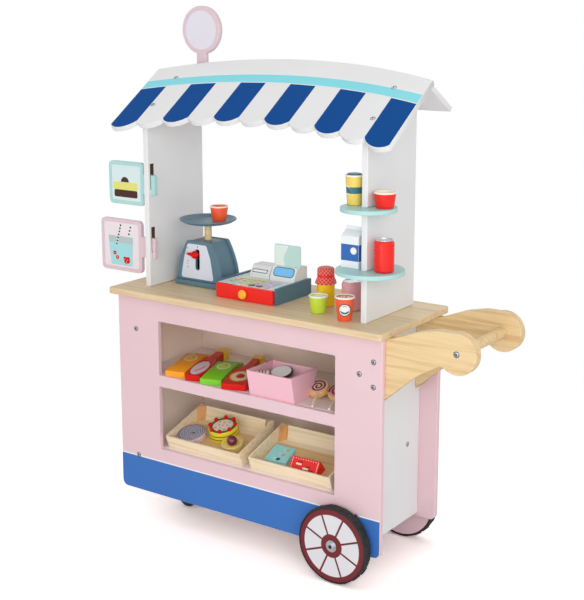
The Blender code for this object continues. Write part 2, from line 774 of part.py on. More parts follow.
def build_round_sign():
    """A disc on a stem whose tenon goes through the back roof board."""
    shoulder = BACK_ROOF_TOP_Z - math.tan(BACK_ROOF_ANGLE) * (SIGN_Y - BACK_ROOF_TOP_Y) + GAP
    foot = roof_under(SIGN_Y + SIGN_T) - SIGN_TENON_BELOW
    half = SIGN_STEM / 2.0
    lean = math.asin(half / SIGN_R)
    quarter = HALF_TURN / 2.0
    rim = arc(SIGN_X, SIGN_Z, SIGN_R, lean - quarter, 3.0 * quarter - lean, ROUND_STEPS)
    tenon = SIGN_TENON / 2.0
    outline = rim + [(SIGN_X - half, shoulder), (SIGN_X - tenon, shoulder), (SIGN_X - tenon, foot),
                     (SIGN_X + tenon, foot), (SIGN_X + tenon, shoulder), (SIGN_X + half, shoulder)]
    face = circle(SIGN_X, SIGN_Z, SIGN_FACE_R, ROUND_STEPS)
    body("round_sign", slab(outline, SIGN_T, facing_front(SIGN_Y), recess=face, sink=FACE_SINK), "F3D6DD")


def hanging_sign(name, left, right, low, high, tab_low, tab_high, tab_out, code):
    """A sign plate whose tab drops over the lower edge of its slot in the left post."""
    inner = LEFT_POST_X + POST_T
    tip = inner + tab_out
    rest = tab_low + HOOK_LIP
    outline = rounded([(left, low, HOOK_CORNER), (right, low, HOOK_CORNER), (right, tab_low, 0.0),
                       (LEFT_POST_X - GAP, tab_low, 0.0), (LEFT_POST_X - GAP, rest, 0.0),
                       (inner + GAP, rest, 0.0), (inner + GAP, tab_low, 0.0), (tip, tab_low, 0.0),
                       (tip, tab_high, HOOK_BORDER / 2.0), (right, tab_high, 0.0),
                       (right, high, HOOK_CORNER), (left, high, HOOK_CORNER)])
    face = rectangle(left + HOOK_BORDER, right - HOOK_BORDER, low + HOOK_BORDER, high - HOOK_BORDER,
                     HOOK_CORNER / 2.0)
    pivot = (LEFT_POST_X, HOOK_Y, rest)
    body(name, slab(outline, HOOK_T, facing_front(HOOK_Y), edge=FINE_EDGE, recess=face, sink=FACE_SINK),
         code, pivot)


def build_handle():
    """Two shaped arms outside the right side panel, joined by a rod."""
    start = SIDE_OUTER + GAP
    top = COUNTER_UNDER - 2.0 * GAP
    knuckle = arc(ARM_END_X, ARM_END_Z, ARM_END_R, math.radians(106.0), math.radians(-131.0), CUP_STEPS)
    corners = [(start, ARM_LOW_Z, 0.0), (start, top, 0.0), (ARM_RISE_X, top, ARM_SMALL_BEND),
               (ARM_SHOULDER_X, ARM_SHOULDER_Z, ARM_BROAD_BEND), (ARM_CREST_X, ARM_CREST_Z, ARM_SMALL_BEND)]
    corners += [(u, v, 0.0) for u, v in knuckle]
    corners += [(ARM_NOTCH_X, ARM_NOTCH_Z, 0.0), (ARM_KNEE_X, ARM_KNEE_Z, ARM_BROAD_BEND)]
    outline = rounded(corners)
    body("front_handle_arm", slab(outline, ARM_T, facing_front(INNER_FRONT + GAP)), "E8CDA0")
    body("back_handle_arm", slab(outline, ARM_T, facing_front(INNER_BACK - GAP - ARM_T)), "E8CDA0")
    first = INNER_FRONT + 2.0 * GAP + ARM_T
    length = INNER_BACK - 2.0 * GAP - ARM_T - first
    rod = [(0.0, 0.0), (ROD_R, 0.0), (ROD_R, length), (0.0, length)]
    body("handle_rod", turned(rod, across(ARM_END_X, first, ARM_END_Z)), "E8CDA0")


def tyre(y, sign):
    """A rubber ring with staggered tread blocks across its running face."""
    rows = []
    points = []
    width = TYRE_W
    spots = [(TYRE_INNER, 0.0, None), (TYRE_BASE - TYRE_PROUD, 0.0, None),
             (TYRE_R, 0.12, 0), (TYRE_R, 0.47, 0), (TYRE_R, 0.53, 2), (TYRE_R, 0.88, 2),
             (TYRE_BASE - TYRE_PROUD, 1.0, None), (TYRE_INNER, 1.0, None)]
    for radius, along, shift in spots:
        rows.append(list(range(len(points), len(points) + TREAD_STEPS)))
        for index in range(TREAD_STEPS):
            low = shift is not None and (index + shift) % 4 >= 2
            reach = TYRE_BASE if low else radius
            angle = FULL_TURN * index / TREAD_STEPS
            points.append((WHEEL_X + reach * math.cos(angle), y + sign * along * width,
                           WHEEL_Z + reach * math.sin(angle)))
    faces = []
    for lower, upper in zip(rows, rows[1:] + rows[:1]):
        faces.extend(join_rows(lower, upper))
    return points, faces


def wheel_disc(y, sign, seat):
    """A wooden disc with a hub boss that runs up to its panel."""
    bore = AXLE_R + BORE
    boss = abs(seat - y) - GAP
    profile = [(bore, 0.0), (DISC_R - EDGE, 0.0), (DISC_R, EDGE), (DISC_R, DISC_T - EDGE),
               (DISC_R - EDGE, DISC_T), (HUB_R, DISC_T), (HUB_R, boss), (bore, boss)]
    flat = [(radius, sign * height) for radius, height in profile]
    return turned(flat, across(WHEEL_X, y, WHEEL_Z), WHEEL_STEPS, ring=True)


def build_wheels():
    """The fixed axle, two discs that turn on it and their tyres."""
    length = AXLE_BACK - AXLE_FRONT
    ease = HEAD_T / 3.0
    near = [(0.0, 0.0), (HEAD_R - ease, 0.0), (HEAD_R, ease), (HEAD_R, HEAD_T), (FLANGE_R, HEAD_T),
            (FLANGE_R, HEAD_T + FLANGE_T), (AXLE_R, HEAD_T + FLANGE_T)]
    profile = near + [(radius, length - height) for radius, height in reversed(near)]
    body("axle", turned(profile, across(WHEEL_X, AXLE_FRONT, WHEEL_Z)), "C8CBD0", roughness=0.3, metallic=1.0)
    front = (WHEEL_X, FRONT_WHEEL_Y, WHEEL_Z)
    back = (WHEEL_X, BACK_WHEEL_Y, WHEEL_Z)
    body("front_wheel", wheel_disc(FRONT_WHEEL_Y, 1.0, FRONT_FACE_Y), "7A3438", front)
    body("back_wheel", wheel_disc(BACK_WHEEL_Y, -1.0, BACK_FACE_Y), "7A3438", back)
    body("front_tyre", tyre(FRONT_WHEEL_Y - TYRE_PROUD, 1.0), "202020", front, roughness=0.8)
    body("back_tyre", tyre(BACK_WHEEL_Y + TYRE_PROUD, -1.0), "202020", back, roughness=0.8)


def build_caster():
    """A swivel caster under the rail: plate, fork with its pin, and wheel."""
    half = CASTER_PLATE / 2.0
    plate_top = RAIL_BOTTOM - GAP
    race_bottom = plate_top - CASTER_PLATE_T - RACE_T
    plate = body("caster_plate",
                 slab(rectangle(SWIVEL_X - half, SWIVEL_X + half, SWIVEL_Y - half, SWIVEL_Y + half, 0.004),
                      CASTER_PLATE_T, lying(plate_top - CASTER_PLATE_T), edge=0.0003),
                 "C8CBD0", roughness=0.3, metallic=1.0)
    race = [(0.0, 0.0), (RACE_R - EDGE, 0.0), (RACE_R, EDGE), (RACE_R, RACE_T + GAP), (0.0, RACE_T + GAP)]
    combine(plate, turned(race, standing(SWIVEL_X, SWIVEL_Y, race_bottom)), "UNION")
    wheel_x = SWIVEL_X + CASTER_TRAIL
    swivel = (SWIVEL_X, SWIVEL_Y, race_bottom)
    top_low = race_bottom - GAP - FORK_T
    crown = [(0.0, 0.0), (FORK_TOP_R, 0.0), (FORK_TOP_R, FORK_T), (0.0, FORK_T)]
    fork = body("caster_fork", turned(crown, standing(SWIVEL_X, SWIVEL_Y, top_low)), "C8CBD0", swivel,
                roughness=0.3, metallic=1.0)
    foot_r = FORK_T + 2.0 * CASTER_PIN_R
    cheek = rounded([(SWIVEL_X - FORK_TOP_R / 2.0, top_low + GAP, 0.0),
                     (wheel_x - foot_r, CASTER_R - foot_r, foot_r * 0.98),
                     (wheel_x + foot_r, CASTER_R - foot_r, foot_r * 0.98),
                     (SWIVEL_X + FORK_TOP_R / 2.0 + GAP, top_low + GAP, 0.0)])
    reach = CASTER_W / 2.0 + FORK_CLEAR
    for start in (SWIVEL_Y - reach - FORK_T, SWIVEL_Y + reach):
        combine(fork, slab(cheek, FORK_T, facing_front(start), edge=0.0), "UNION")
    outer = reach + FORK_T + CASTER_PIN_R / 2.0
    pin = [(0.0, 0.0), (CASTER_PIN_R, 0.0), (CASTER_PIN_R, 2.0 * outer), (0.0, 2.0 * outer)]
    combine(fork, turned(pin, across(wheel_x, SWIVEL_Y - outer, CASTER_R)), "UNION")
    bore = CASTER_PIN_R + BORE
    ease = CASTER_W / 6.0
    tread = [(bore, 0.0), (CASTER_R - 2.0 * ease, 0.0), (CASTER_R - ease / 2.0, ease / 2.0),
             (CASTER_R, 2.0 * ease), (CASTER_R, CASTER_W - 2.0 * ease),
             (CASTER_R - ease / 2.0, CASTER_W - ease / 2.0),
             (CASTER_R - 2.0 * ease, CASTER_W), (bore, CASTER_W)]
    body("caster_wheel", turned(tread, across(wheel_x, SWIVEL_Y - CASTER_W / 2.0, CASTER_R), ring=True),
         "202020", (wheel_x, SWIVEL_Y, CASTER_R), roughness=0.7)


def scale_side(inset, steps=6):
    """The scale's flared side from foot to shoulder, as a curve through its waist."""
    foot = COUNTER_TOP + 2.0 * GAP + SCALE_BASE_T
    points = []
    waist = (SCALE_WAIST_Z - foot) / (SCALE_TOP - foot)
    for index in range(steps + 1):
        t = index / steps
        lower = SCALE_FOOT_HALF + (SCALE_TOP_HALF - SCALE_FOOT_HALF) * t
        middle = SCALE_FOOT_HALF + (SCALE_TOP_HALF - SCALE_FOOT_HALF) * waist
        bulge = (SCALE_WAIST_HALF - middle) * t * (1.0 - t) / (waist * (1.0 - waist))
        points.append((lower + bulge - inset, foot + (SCALE_TOP - foot) * t))
    return points


def build_scale():
    """A toy scale: the pan, dowel and pointer go down together on a spring."""
    counter = COUNTER_TOP + GAP
    half = SCALE_BASE_W / 2.0
    base = rectangle(SCALE_X - half, SCALE_X + half, SCALE_BASE_FRONT, SCALE_BASE_BACK, SCALE_CORNER)
    body("scale_base", slab(base, SCALE_BASE_T, lying(counter)), "5B7C8C")
    side = scale_side(0.0)
    right = [(SCALE_X + u, v, 0.0) for u, v in side[:-1]] + [(SCALE_X + side[-1][0], SCALE_TOP, SCALE_CORNER)]
    left = [(2.0 * SCALE_X - u, v, radius) for u, v, radius in reversed(right)]
    outline = rounded(right + left)
    middle = (SLOT_HIGH + SLOT_LOW) / 2.0
    run = (SLOT_HIGH - SLOT_LOW) / 2.0 - SLOT_HALF
    slot = (arc(SLOT_X, middle + run, SLOT_HALF, 0.0, HALF_TURN, 6)
            + arc(SLOT_X, middle - run, SLOT_HALF, HALF_TURN, FULL_TURN, 6))
    body("scale_front_plate", slab(outline, SCALE_PLATE_T, facing_front(SCALE_FRONT), [slot], FINE_EDGE),
         "5B7C8C")
    body("scale_back_plate", slab(outline, SCALE_PLATE_T, facing_front(SCALE_BACK - SCALE_PLATE_T),
                                  edge=FINE_EDGE), "5B7C8C")
    drop = FINE_EDGE * 2.0
    outer = [(u, v) for u, v in scale_side(SHELL_INSET)[:-1]]
    outer += [(SCALE_TOP_HALF - SHELL_INSET, SCALE_TOP - drop)]
    inner = [(u, v) for u, v in scale_side(SHELL_INSET + SHELL_T)[:-1]]
    inner += [(SCALE_TOP_HALF - SHELL_INSET - SHELL_T, SCALE_TOP - drop - SHELL_T)]
    hoop = [(SCALE_X + u, v) for u, v in outer] + [(SCALE_X - u, v) for u, v in reversed(outer)]
    hoop += [(SCALE_X - u, v) for u, v in inner] + [(SCALE_X + u, v) for u, v in reversed(inner)]
    start = SCALE_FRONT + SCALE_PLATE_T + GAP
    depth = SCALE_BACK - SCALE_PLATE_T - GAP - start
    shell = body("scale_shell", slab(hoop, depth, facing_front(start), edge=0.0), "5B7C8C")
    bore = [(0.0, 0.0), (DOWEL_R + BORE, 0.0), (DOWEL_R + BORE, SHELL_T * 3.0), (0.0, SHELL_T * 3.0)]
    combine(shell, turned(bore, standing(DOWEL_X, DOWEL_Y, SCALE_TOP - SHELL_T * 2.0)), "DIFFERENCE")
    pivot = (DOWEL_X, DOWEL_Y, DOWEL_LOW)
    length = DISH_UNDER - GAP - DOWEL_LOW
    stick = [(0.0, 0.0), (DOWEL_R, 0.0), (DOWEL_R, length), (0.0, length)]
    body("scale_dowel", turned(stick, standing(DOWEL_X, DOWEL_Y, DOWEL_LOW)), "E8CDA0", pivot)
    rise = DISH_RIM - DISH_UNDER
    skin = DISH_FLOOR - DISH_UNDER
    dish = [(0.0, 0.0), (DISH_FLOOR_R - skin, 0.0), (DISH_FLOOR_R + skin, rise * 0.2),
            (DISH_R - EDGE, rise * 0.62), (DISH_R, rise * 0.8), (DISH_R - EDGE / 2.0, rise),
            (DISH_R - 2.0 * EDGE, rise),
            (DISH_FLOOR_R + skin, rise * 0.66), (DISH_FLOOR_R - EDGE, skin), (0.0, skin)]
    body("scale_dish", turned(dish, standing(DISH_X, DISH_Y, DISH_UNDER), ROUND_STEPS), "5B7C8C", pivot)
    round_end = math.radians(112.0)
    knob = arc(POINTER_KNOB_X, POINTER_Z, POINTER_R, -round_end, round_end, CUP_STEPS // 2)
    knob += arc(POINTER_TIP_X, POINTER_Z, POINTER_R / 4.0, math.radians(100.0), math.radians(260.0), 4)
    front = SCALE_FRONT - GAP - POINTER_T
    pointer = body("scale_pointer", slab(knob, POINTER_T, facing_front(front), edge=FINE_EDGE),
                   "E02020", pivot)
    reach = DOWEL_Y - DOWEL_R - 2.0 * GAP - front - POINTER_T / 2.0
    pin = [(0.0, 0.0), (POINTER_PIN_R, 0.0), (POINTER_PIN_R, reach), (0.0, reach)]
    combine(pointer, turned(pin, across(SLOT_X, front + POINTER_T / 2.0, POINTER_Z), CUP_STEPS // 2), "UNION")
    build_spring(counter + SCALE_BASE_T + GAP)


def build_spring(floor):
    """A coil between the scale's base and the foot of the dowel, its wire ends cut flat."""
    wire = SPRING_WIRE
    low = floor + wire + GAP
    high = DOWEL_LOW - GAP - wire
    count = SPRING_TURNS * SPRING_STEPS
    rings = []
    for index in range(count + 1):
        angle = FULL_TURN * index / SPRING_STEPS
        z = low + (high - low) * index / count
        ring = []
        for side in range(SPRING_SIDES):
            turn = FULL_TURN * side / SPRING_SIDES
            reach = SPRING_R + wire * math.cos(turn)
            ring.append((DOWEL_X + reach * math.cos(angle), DOWEL_Y + reach * math.sin(angle),
                         z + wire * math.sin(turn)))
        rings.append(ring)
    body("scale_spring", loft(rings), "C8CBD0", (DOWEL_X, DOWEL_Y, floor), roughness=0.3, metallic=1.0)


def build_register():
    """A toy register: tray, drawer with a knob, lid with keys, two blocks and a card."""
    counter = COUNTER_TOP + GAP
    inner_left = TRAY_LEFT + TRAY_WALL
    inner_right = TRAY_RIGHT - TRAY_WALL
    wall_top = counter + TRAY_H
    tray = [(TRAY_LEFT, counter), (TRAY_RIGHT, counter), (TRAY_RIGHT, wall_top), (inner_right, wall_top),
            (inner_right, counter + TRAY_FLOOR), (inner_left, counter + TRAY_FLOOR), (inner_left, wall_top),
            (TRAY_LEFT, wall_top)]
    case = body("register_tray", slab(tray, TRAY_BACK - TRAY_FRONT, facing_front(TRAY_FRONT), edge=0.0),
                "4A6F82")
    wall = rectangle(TRAY_LEFT + GAP, TRAY_RIGHT - GAP, counter + GAP, wall_top)
    combine(case, slab(wall, TRAY_WALL, facing_front(TRAY_BACK - TRAY_WALL), edge=0.0), "UNION")
    left = inner_left + GAP
    right = inner_right - GAP
    pivot = ((left + right) / 2.0, DRAWER_FRONT_Y, counter)
    sole = counter + TRAY_FLOOR + GAP
    front = rectangle(left, right, counter + GAP, counter + DRAWER_FRONT_H, 0.0)
    face = slab(front, DRAWER_FRONT_T, facing_front(DRAWER_FRONT_Y), edge=FINE_EDGE)
    drawer = body("register_drawer", face, "F92E20", pivot)
    box_back = DRAWER_FRONT_Y + DRAWER_DEPTH
    block = slab(rectangle(left + GAP, right - GAP, DRAWER_FRONT_Y + DRAWER_FRONT_T / 2.0, box_back),
                 DRAWER_H, lying(sole), edge=0.0)
    combine(drawer, block, "UNION")
    hollow = slab(rectangle(left + DRAWER_WALL, right - DRAWER_WALL, DRAWER_FRONT_Y + DRAWER_FRONT_T,
                            box_back - DRAWER_WALL), DRAWER_H * 2.0, lying(sole + DRAWER_FLOOR), edge=0.0)
    combine(drawer, hollow, "DIFFERENCE")
    knob = [(0.0, 0.0), (KNOB_R * 0.8, 0.0), (KNOB_R, EDGE), (KNOB_R, KNOB_OUT - 2.0 * EDGE),
            (KNOB_R - 2.0 * EDGE, KNOB_OUT), (0.0, KNOB_OUT)]
    facing = [(radius, -height) for radius, height in knob]
    body("drawer_knob", turned(facing, across(KNOB_X, DRAWER_FRONT_Y - GAP, counter + KNOB_Z)),
         "F9B82B", pivot)
    lid_top = COUNTER_TOP + LID_TOP
    lid = rectangle(left, right, TRAY_FRONT, TRAY_BACK - TRAY_WALL - GAP)
    body("register_lid", slab(lid, LID_T, lying(lid_top - LID_T), edge=0.0004), "EDEDE8")
    foot = lid_top + GAP
    back = TRAY_BACK - TRAY_WALL - 2.0 * GAP
    top = COUNTER_TOP + PRINTER_TOP
    rise = top - foot
    printer = rounded([(PRINTER_FRONT, foot, 0.0), (back, foot, 0.0), (back, top, 0.002),
                       (PRINTER_FRONT + rise * 0.5, top, 0.004), (PRINTER_FRONT, foot + rise * 0.35, 0.003)])
    body("printer_block", slab(printer, PRINTER_RIGHT - PRINTER_LEFT, facing_side(PRINTER_LEFT),
                               edge=FINE_EDGE), "DDDFE0")
    top = COUNTER_TOP + SCREEN_TOP
    rise = top - foot
    slot = CARD_T / 2.0 + GAP
    screen = rounded([(SCREEN_FRONT, foot, 0.0), (back, foot, 0.0), (back, top, 0.002),
                      (CARD_Y + slot, top, 0.0), (CARD_Y + slot, top - CARD_SLOT, 0.0),
                      (CARD_Y - slot, top - CARD_SLOT, 0.0),
                      (CARD_Y - slot, top, 0.0), (SCREEN_FRONT + rise * 0.45, top, 0.003),
                      (SCREEN_FRONT, foot + rise * 0.2, 0.003)])
    body("screen_block", slab(screen, right - SCREEN_LEFT, facing_side(SCREEN_LEFT), edge=0.0002), "DDDFE0")
    half = CARD_W / 2.0
    card = rectangle(CARD_X - half, CARD_X + half, top - CARD_SLOT + GAP, COUNTER_TOP + CARD_TOP, 0.003)
    body("register_card", slab(card, CARD_T, facing_front(CARD_Y - CARD_T / 2.0), edge=0.0002), "CFE6DA")


def tray_box(name, centre_x, width, floor, wall, front, back, code, rise=0.0, block=0.0):
    """An open box with leaning ends, a floor that may slope and blocks in its two rear corners."""
    front_low, front_high, front_h = front
    back_low, back_high, back_h = back
    left = centre_x - width / 2.0
    right = centre_x + width / 2.0
    lap = 2.0 * GAP
    inner_width = width - 2.0 * (wall - GAP)
    across_box = facing_side(left + wall - GAP)

    def side_wall(x):
        outline = [(front_low, floor), (back_low, floor), (back_high, floor + back_h),
                   (front_high, floor + front_h)]
        return slab(outline, wall, facing_side(x), edge=0.0)

    def cross_wall(low_y, high_y, height):
        inward = wall if low_y < back_low else -wall
        near = lap if low_y < back_low else -lap
        outline = [(low_y + near, floor + lap), (low_y + inward, floor + lap),
                   (high_y + inward, floor + height - lap), (high_y + near, floor + height - lap)]
        return slab(outline, inner_width, across_box, edge=0.0)

    def corner_block(corner_x, leg):
        rings = []
        for height in (rise + wall / 2.0, back_h - lap):
            rear = back_low + (back_high - back_low) * height / back_h - wall + GAP
            rings.append([(corner_x, rear, floor + height), (corner_x + leg, rear, floor + height),
                          (corner_x, rear - abs(leg), floor + height)])
        return loft(rings)

    box = body(name, side_wall(left), code, (centre_x, front_low, floor))
    sole = [(front_low + lap, floor), (back_low - lap, floor + rise), (back_low - lap, floor + rise + wall),
            (front_low + lap, floor + wall)]
    combine(box, slab(sole, inner_width, across_box, edge=0.0), "UNION")
    combine(box, cross_wall(front_low, front_high, front_h), "UNION")
    combine(box, cross_wall(back_low, back_high, back_h), "UNION")
    combine(box, side_wall(right - wall), "UNION")
    if block > 0.0:
        combine(box, corner_block(left + wall - GAP, block), "UNION")
        combine(box, corner_block(right - wall + GAP, -block), "UNION")


def on_crate_floor(x, along):
    """Put a turned shape on a crate's sloping floor, upright to it."""
    slope = math.atan2(CRATE_FLOOR_RISE, CRATE_BACK_LOW - CRATE_FRONT_LOW)
    cos_a = math.cos(slope)
    sin_a = math.sin(slope)
    foot = LOWER_WINDOW_LOW + GAP + CRATE_WALL

    def place(u, v, w):
        lift = w + GAP
        return (x + u, CRATE_FRONT_LOW + (along + v) * cos_a - lift * sin_a,
                foot + (along + v) * sin_a + lift * cos_a)

    return place


def build_cake():
    """A round layer cake with a ring of berries, in the left crate."""
    place = on_crate_floor(CAKE_X, CAKE_ALONG)
    profile = [(0.0, 0.0), (CAKE_R - EDGE, 0.0), (CAKE_R, EDGE), (CAKE_R, CAKE_H - 2.0 * EDGE),
               (CAKE_R - 2.0 * EDGE, CAKE_H), (0.0, CAKE_H)]
    cake = body("berry_cake", turned(profile, place, CAKE_STEPS), "F2C71E",
                (LEFT_CRATE_X, CRATE_FRONT_LOW, LOWER_WINDOW_LOW + GAP))
    for index in range(BERRIES):
        turn = FULL_TURN * (index + 0.5) / BERRIES
        u = BERRY_RING * math.cos(turn)
        v = BERRY_RING * math.sin(turn)
        high = CAKE_H + BERRY_R / 2.0
        berry = [(BERRY_R * math.cos(lean), high + BERRY_R * math.sin(lean))
                 for lean in (-HALF_TURN / 2.0, -HALF_TURN / 8.0, HALF_TURN / 5.0, HALF_TURN / 2.0)]
        spot = on_crate_floor(CAKE_X + u, CAKE_ALONG + v)
        combine(cake, turned(berry, spot, BERRY_STEPS), "UNION")


def build_boxes():
    """Two wooden crates on the deck and a pink box on the shelf."""
    deck = LOWER_WINDOW_LOW + GAP
    shelf = UPPER_WINDOW_LOW + GAP
    front = (CRATE_FRONT_LOW, CRATE_FRONT_HIGH, CRATE_FRONT_H)
    back = (CRATE_BACK_LOW, CRATE_BACK_HIGH, CRATE_BACK_H)
    for name, x in (("left_crate", LEFT_CRATE_X), ("right_crate", RIGHT_CRATE_X)):
        tray_box(name, x, CRATE_W, deck, CRATE_WALL, front, back, "EFE3C8", CRATE_FLOOR_RISE, CORNER_BLOCK)
    tray_box("pink_box", BOX_X, BOX_W, shelf, BOX_WALL, (BOX_FRONT_LOW, BOX_FRONT_HIGH, BOX_H),
             (BOX_BACK_LOW, BOX_BACK_HIGH, BOX_H), "F5B5D8")


def cup(name, x, y, z, foot_r, rim_r, height, code):
    """A tapered cup with a rolled rim and a sunk top."""
    bead = CUP_WALL * 0.6
    profile = [(0.0, 0.0), (foot_r - bead, 0.0), (foot_r, bead), (rim_r - bead, height - 3.0 * bead),
               (rim_r, height - 2.0 * bead), (rim_r, height - bead), (rim_r - bead, height),
               (rim_r - CUP_WALL - bead, height), (rim_r - 2.0 * CUP_WALL, height - CUP_SINK),
               (0.0, height - CUP_SINK)]
    return body(name, turned(profile, standing(x, y, z)), code)


def can(name, x, y, z, radius, height, code):
    """A drink can with necked ends and a sunk lid."""
    neck = radius * 0.14
    profile = [(0.0, EDGE), (radius - 2.0 * neck, EDGE), (radius - 1.5 * neck, 0.0), (radius - neck, 0.0),
               (radius, neck), (radius, height - 2.0 * neck), (radius - neck, height - neck * 0.6),
               (radius - neck, height), (radius - 1.5 * neck, height), (radius - 1.7 * neck, height - EDGE),
               (0.0, height - EDGE)]
    return body(name, turned(profile, standing(x, y, z)), code)


def build_standing_toys():
    """Cups, cans, a bottle and a carton on the counter, the pan and the round shelves."""
    counter = COUNTER_TOP + GAP
    high = HIGH_SHELF_TOP + GAP
    low = LOW_SHELF_TOP + GAP
    cup("scale_cup", DISH_CUP_X, DISH_Y, DISH_FLOOR + GAP, DISH_CUP_FOOT, DISH_CUP_RIM, DISH_CUP_H, "F4553A")
    cup("lime_cup", LIME_CUP_X, LIME_CUP_Y, counter, LIME_CUP_FOOT, LIME_CUP_RIM, LIME_CUP_H, "B5E41F")
    cup("orange_cup", ORANGE_CUP_X, ORANGE_CUP_Y, counter, ORANGE_CUP_FOOT, ORANGE_CUP_RIM, ORANGE_CUP_H,
        "FF5A30")
    cup("red_cup", RED_CUP_X, RED_CUP_Y, high, RED_CUP_FOOT, RED_CUP_RIM, RED_CUP_H, "E63226")
    can("pink_can", PINK_CAN_X, PINK_CAN_Y, counter, PINK_CAN_R, PINK_CAN_H, "F08CA0")
    can("red_can", RED_CAN_X, RED_CAN_Y, low, RED_CAN_R, RED_CAN_H, "E02020")
    can("yellow_can", YELLOW_CAN_X, YELLOW_CAN_Y, high, YELLOW_CAN_R, YELLOW_CAN_H, "F5C518")
    collar_top = BOTTLE_COLLAR_Z + BOTTLE_COLLAR_T
    bottle = [(0.0, 0.0), (BOTTLE_R - EDGE, 0.0), (BOTTLE_R, EDGE), (BOTTLE_R, BOTTLE_SHOULDER),
              (BOTTLE_R * 0.82, BOTTLE_COLLAR_Z - EDGE), (BOTTLE_COLLAR_R, BOTTLE_COLLAR_Z),
              (BOTTLE_COLLAR_R, collar_top), (BOTTLE_R * 0.95, collar_top + BOTTLE_R / 2.0),
              (BOTTLE_R * 0.88, BOTTLE_H - 2.0 * EDGE), (BOTTLE_R * 0.7, BOTTLE_H), (0.0, BOTTLE_H)]
    body("yellow_bottle", turned(bottle, standing(BOTTLE_X, BOTTLE_Y, counter)), "F8C81E")
    rings = []
    middle = MILK_Y + MILK_W / 2.0
    for height, half in ((0.0, MILK_W / 2.0), (MILK_SHOULDER, MILK_W / 2.0), (MILK_FOLD, MILK_FIN / 2.0),
                         (MILK_H, MILK_FIN / 2.0)):
        rings.append([(MILK_X, middle - half, low + height), (MILK_X + MILK_W, middle - half, low + height),
                      (MILK_X + MILK_W, middle + half, low + height), (MILK_X, middle + half, low + height)])
    body("milk_carton", loft(rings), "EFF1F4")


def lying_carton(name, x, angle, width, length, code):
    """A flat juice carton lying on its back, its pinched end turned away."""
    place = lying_turned(x, JUICE_Y, angle, UPPER_WINDOW_LOW + GAP)
    rings = []
    fin = length * 0.88
    for along, narrow, thick in ((0.0, 0.0, FLAT_TOY_T), (length * 0.72, 0.0, FLAT_TOY_T),
                                 (fin, CARTON_NARROW, CARTON_FIN_T), (length, CARTON_NARROW, CARTON_FIN_T)):
        side = width / 2.0 - narrow
        rings.append([place(-side, along, 0.0), place(side, along, 0.0),
                      place(side, along, thick), place(-side, along, thick)])
    return body(name, loft(rings), code)


def lying_bottle(name, x, angle, foot, belly, neck, length, code):
    """A flat wooden sauce bottle lying on its back: a swelling body, a thin neck and a cap."""
    cap = neck + SAUCE_CAP_OUT
    cap_start = length - SAUCE_CAP_L
    right = [(foot, 0.0, SAUCE_CORNER), (belly, length * 0.18, SAUCE_BEND),
             (belly * 0.9, length * 0.40, SAUCE_BEND), (neck, length * 0.60, SAUCE_BEND / 2.0),
             (neck, cap_start - EDGE, 0.0), (cap, cap_start, EDGE), (cap, length, SAUCE_CORNER)]
    left = [(-u, v, radius) for u, v, radius in reversed(right)]
    place = lying_turned(x, SAUCE_Y, angle, UPPER_WINDOW_LOW + GAP)
    return body(name, slab(rounded(right + left, SAUCE_STEPS), FLAT_TOY_T, place, edge=2.0 * EDGE), code)


def build_lying_toys():
    """Flat cartons and bottles on the middle shelf."""
    lying_carton("orange_carton", ORANGE_CARTON_X, ORANGE_CARTON_TURN, ORANGE_CARTON_W, ORANGE_CARTON_L,
                 "F9A01B")
    lying_carton("green_carton", GREEN_CARTON_X, GREEN_CARTON_TURN, GREEN_CARTON_W, GREEN_CARTON_L, "6DBE1E")
    lying_bottle("left_red_bottle", SLIM_X, SLIM_TURN, SLIM_FOOT, SLIM_BELLY, SLIM_NECK, SLIM_L, "E02020")
    lying_bottle("right_red_bottle", WIDE_X, WIDE_TURN, WIDE_FOOT, WIDE_BELLY, WIDE_NECK, WIDE_L, "E02020")


def main():
    """Build the whole cart."""
    clear_scene()
    build_cart_body()
    build_posts()
    round_shelf("lower_round_shelf", LOW_SHELF_R, LOW_SHELF_Y, LOW_SHELF_TOP)
    round_shelf("upper_round_shelf", HIGH_SHELF_R, HIGH_SHELF_Y, HIGH_SHELF_TOP)
    build_roof()
    build_round_sign()
    hanging_sign("mint_hanging_sign", MINT_LEFT, MINT_RIGHT, MINT_LOW, MINT_HIGH, MINT_TAB_LOW, MINT_TAB_HIGH,
                 MINT_TAB_OUT, "AEDDDB")
    hanging_sign("pink_hanging_sign", PINK_LEFT, PINK_RIGHT, PINK_LOW, PINK_HIGH, PINK_TAB_LOW, PINK_TAB_HIGH,
                 PINK_TAB_OUT, "F3C6D2")
    build_handle()
    build_wheels()
    build_caster()
    build_scale()
    build_register()
    build_boxes()
    build_cake()
    build_standing_toys()
    build_lying_toys()


main()
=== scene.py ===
import json
import math

import bmesh
import bpy
import numpy as np
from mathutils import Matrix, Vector
from mathutils.geometry import tessellate_polygon


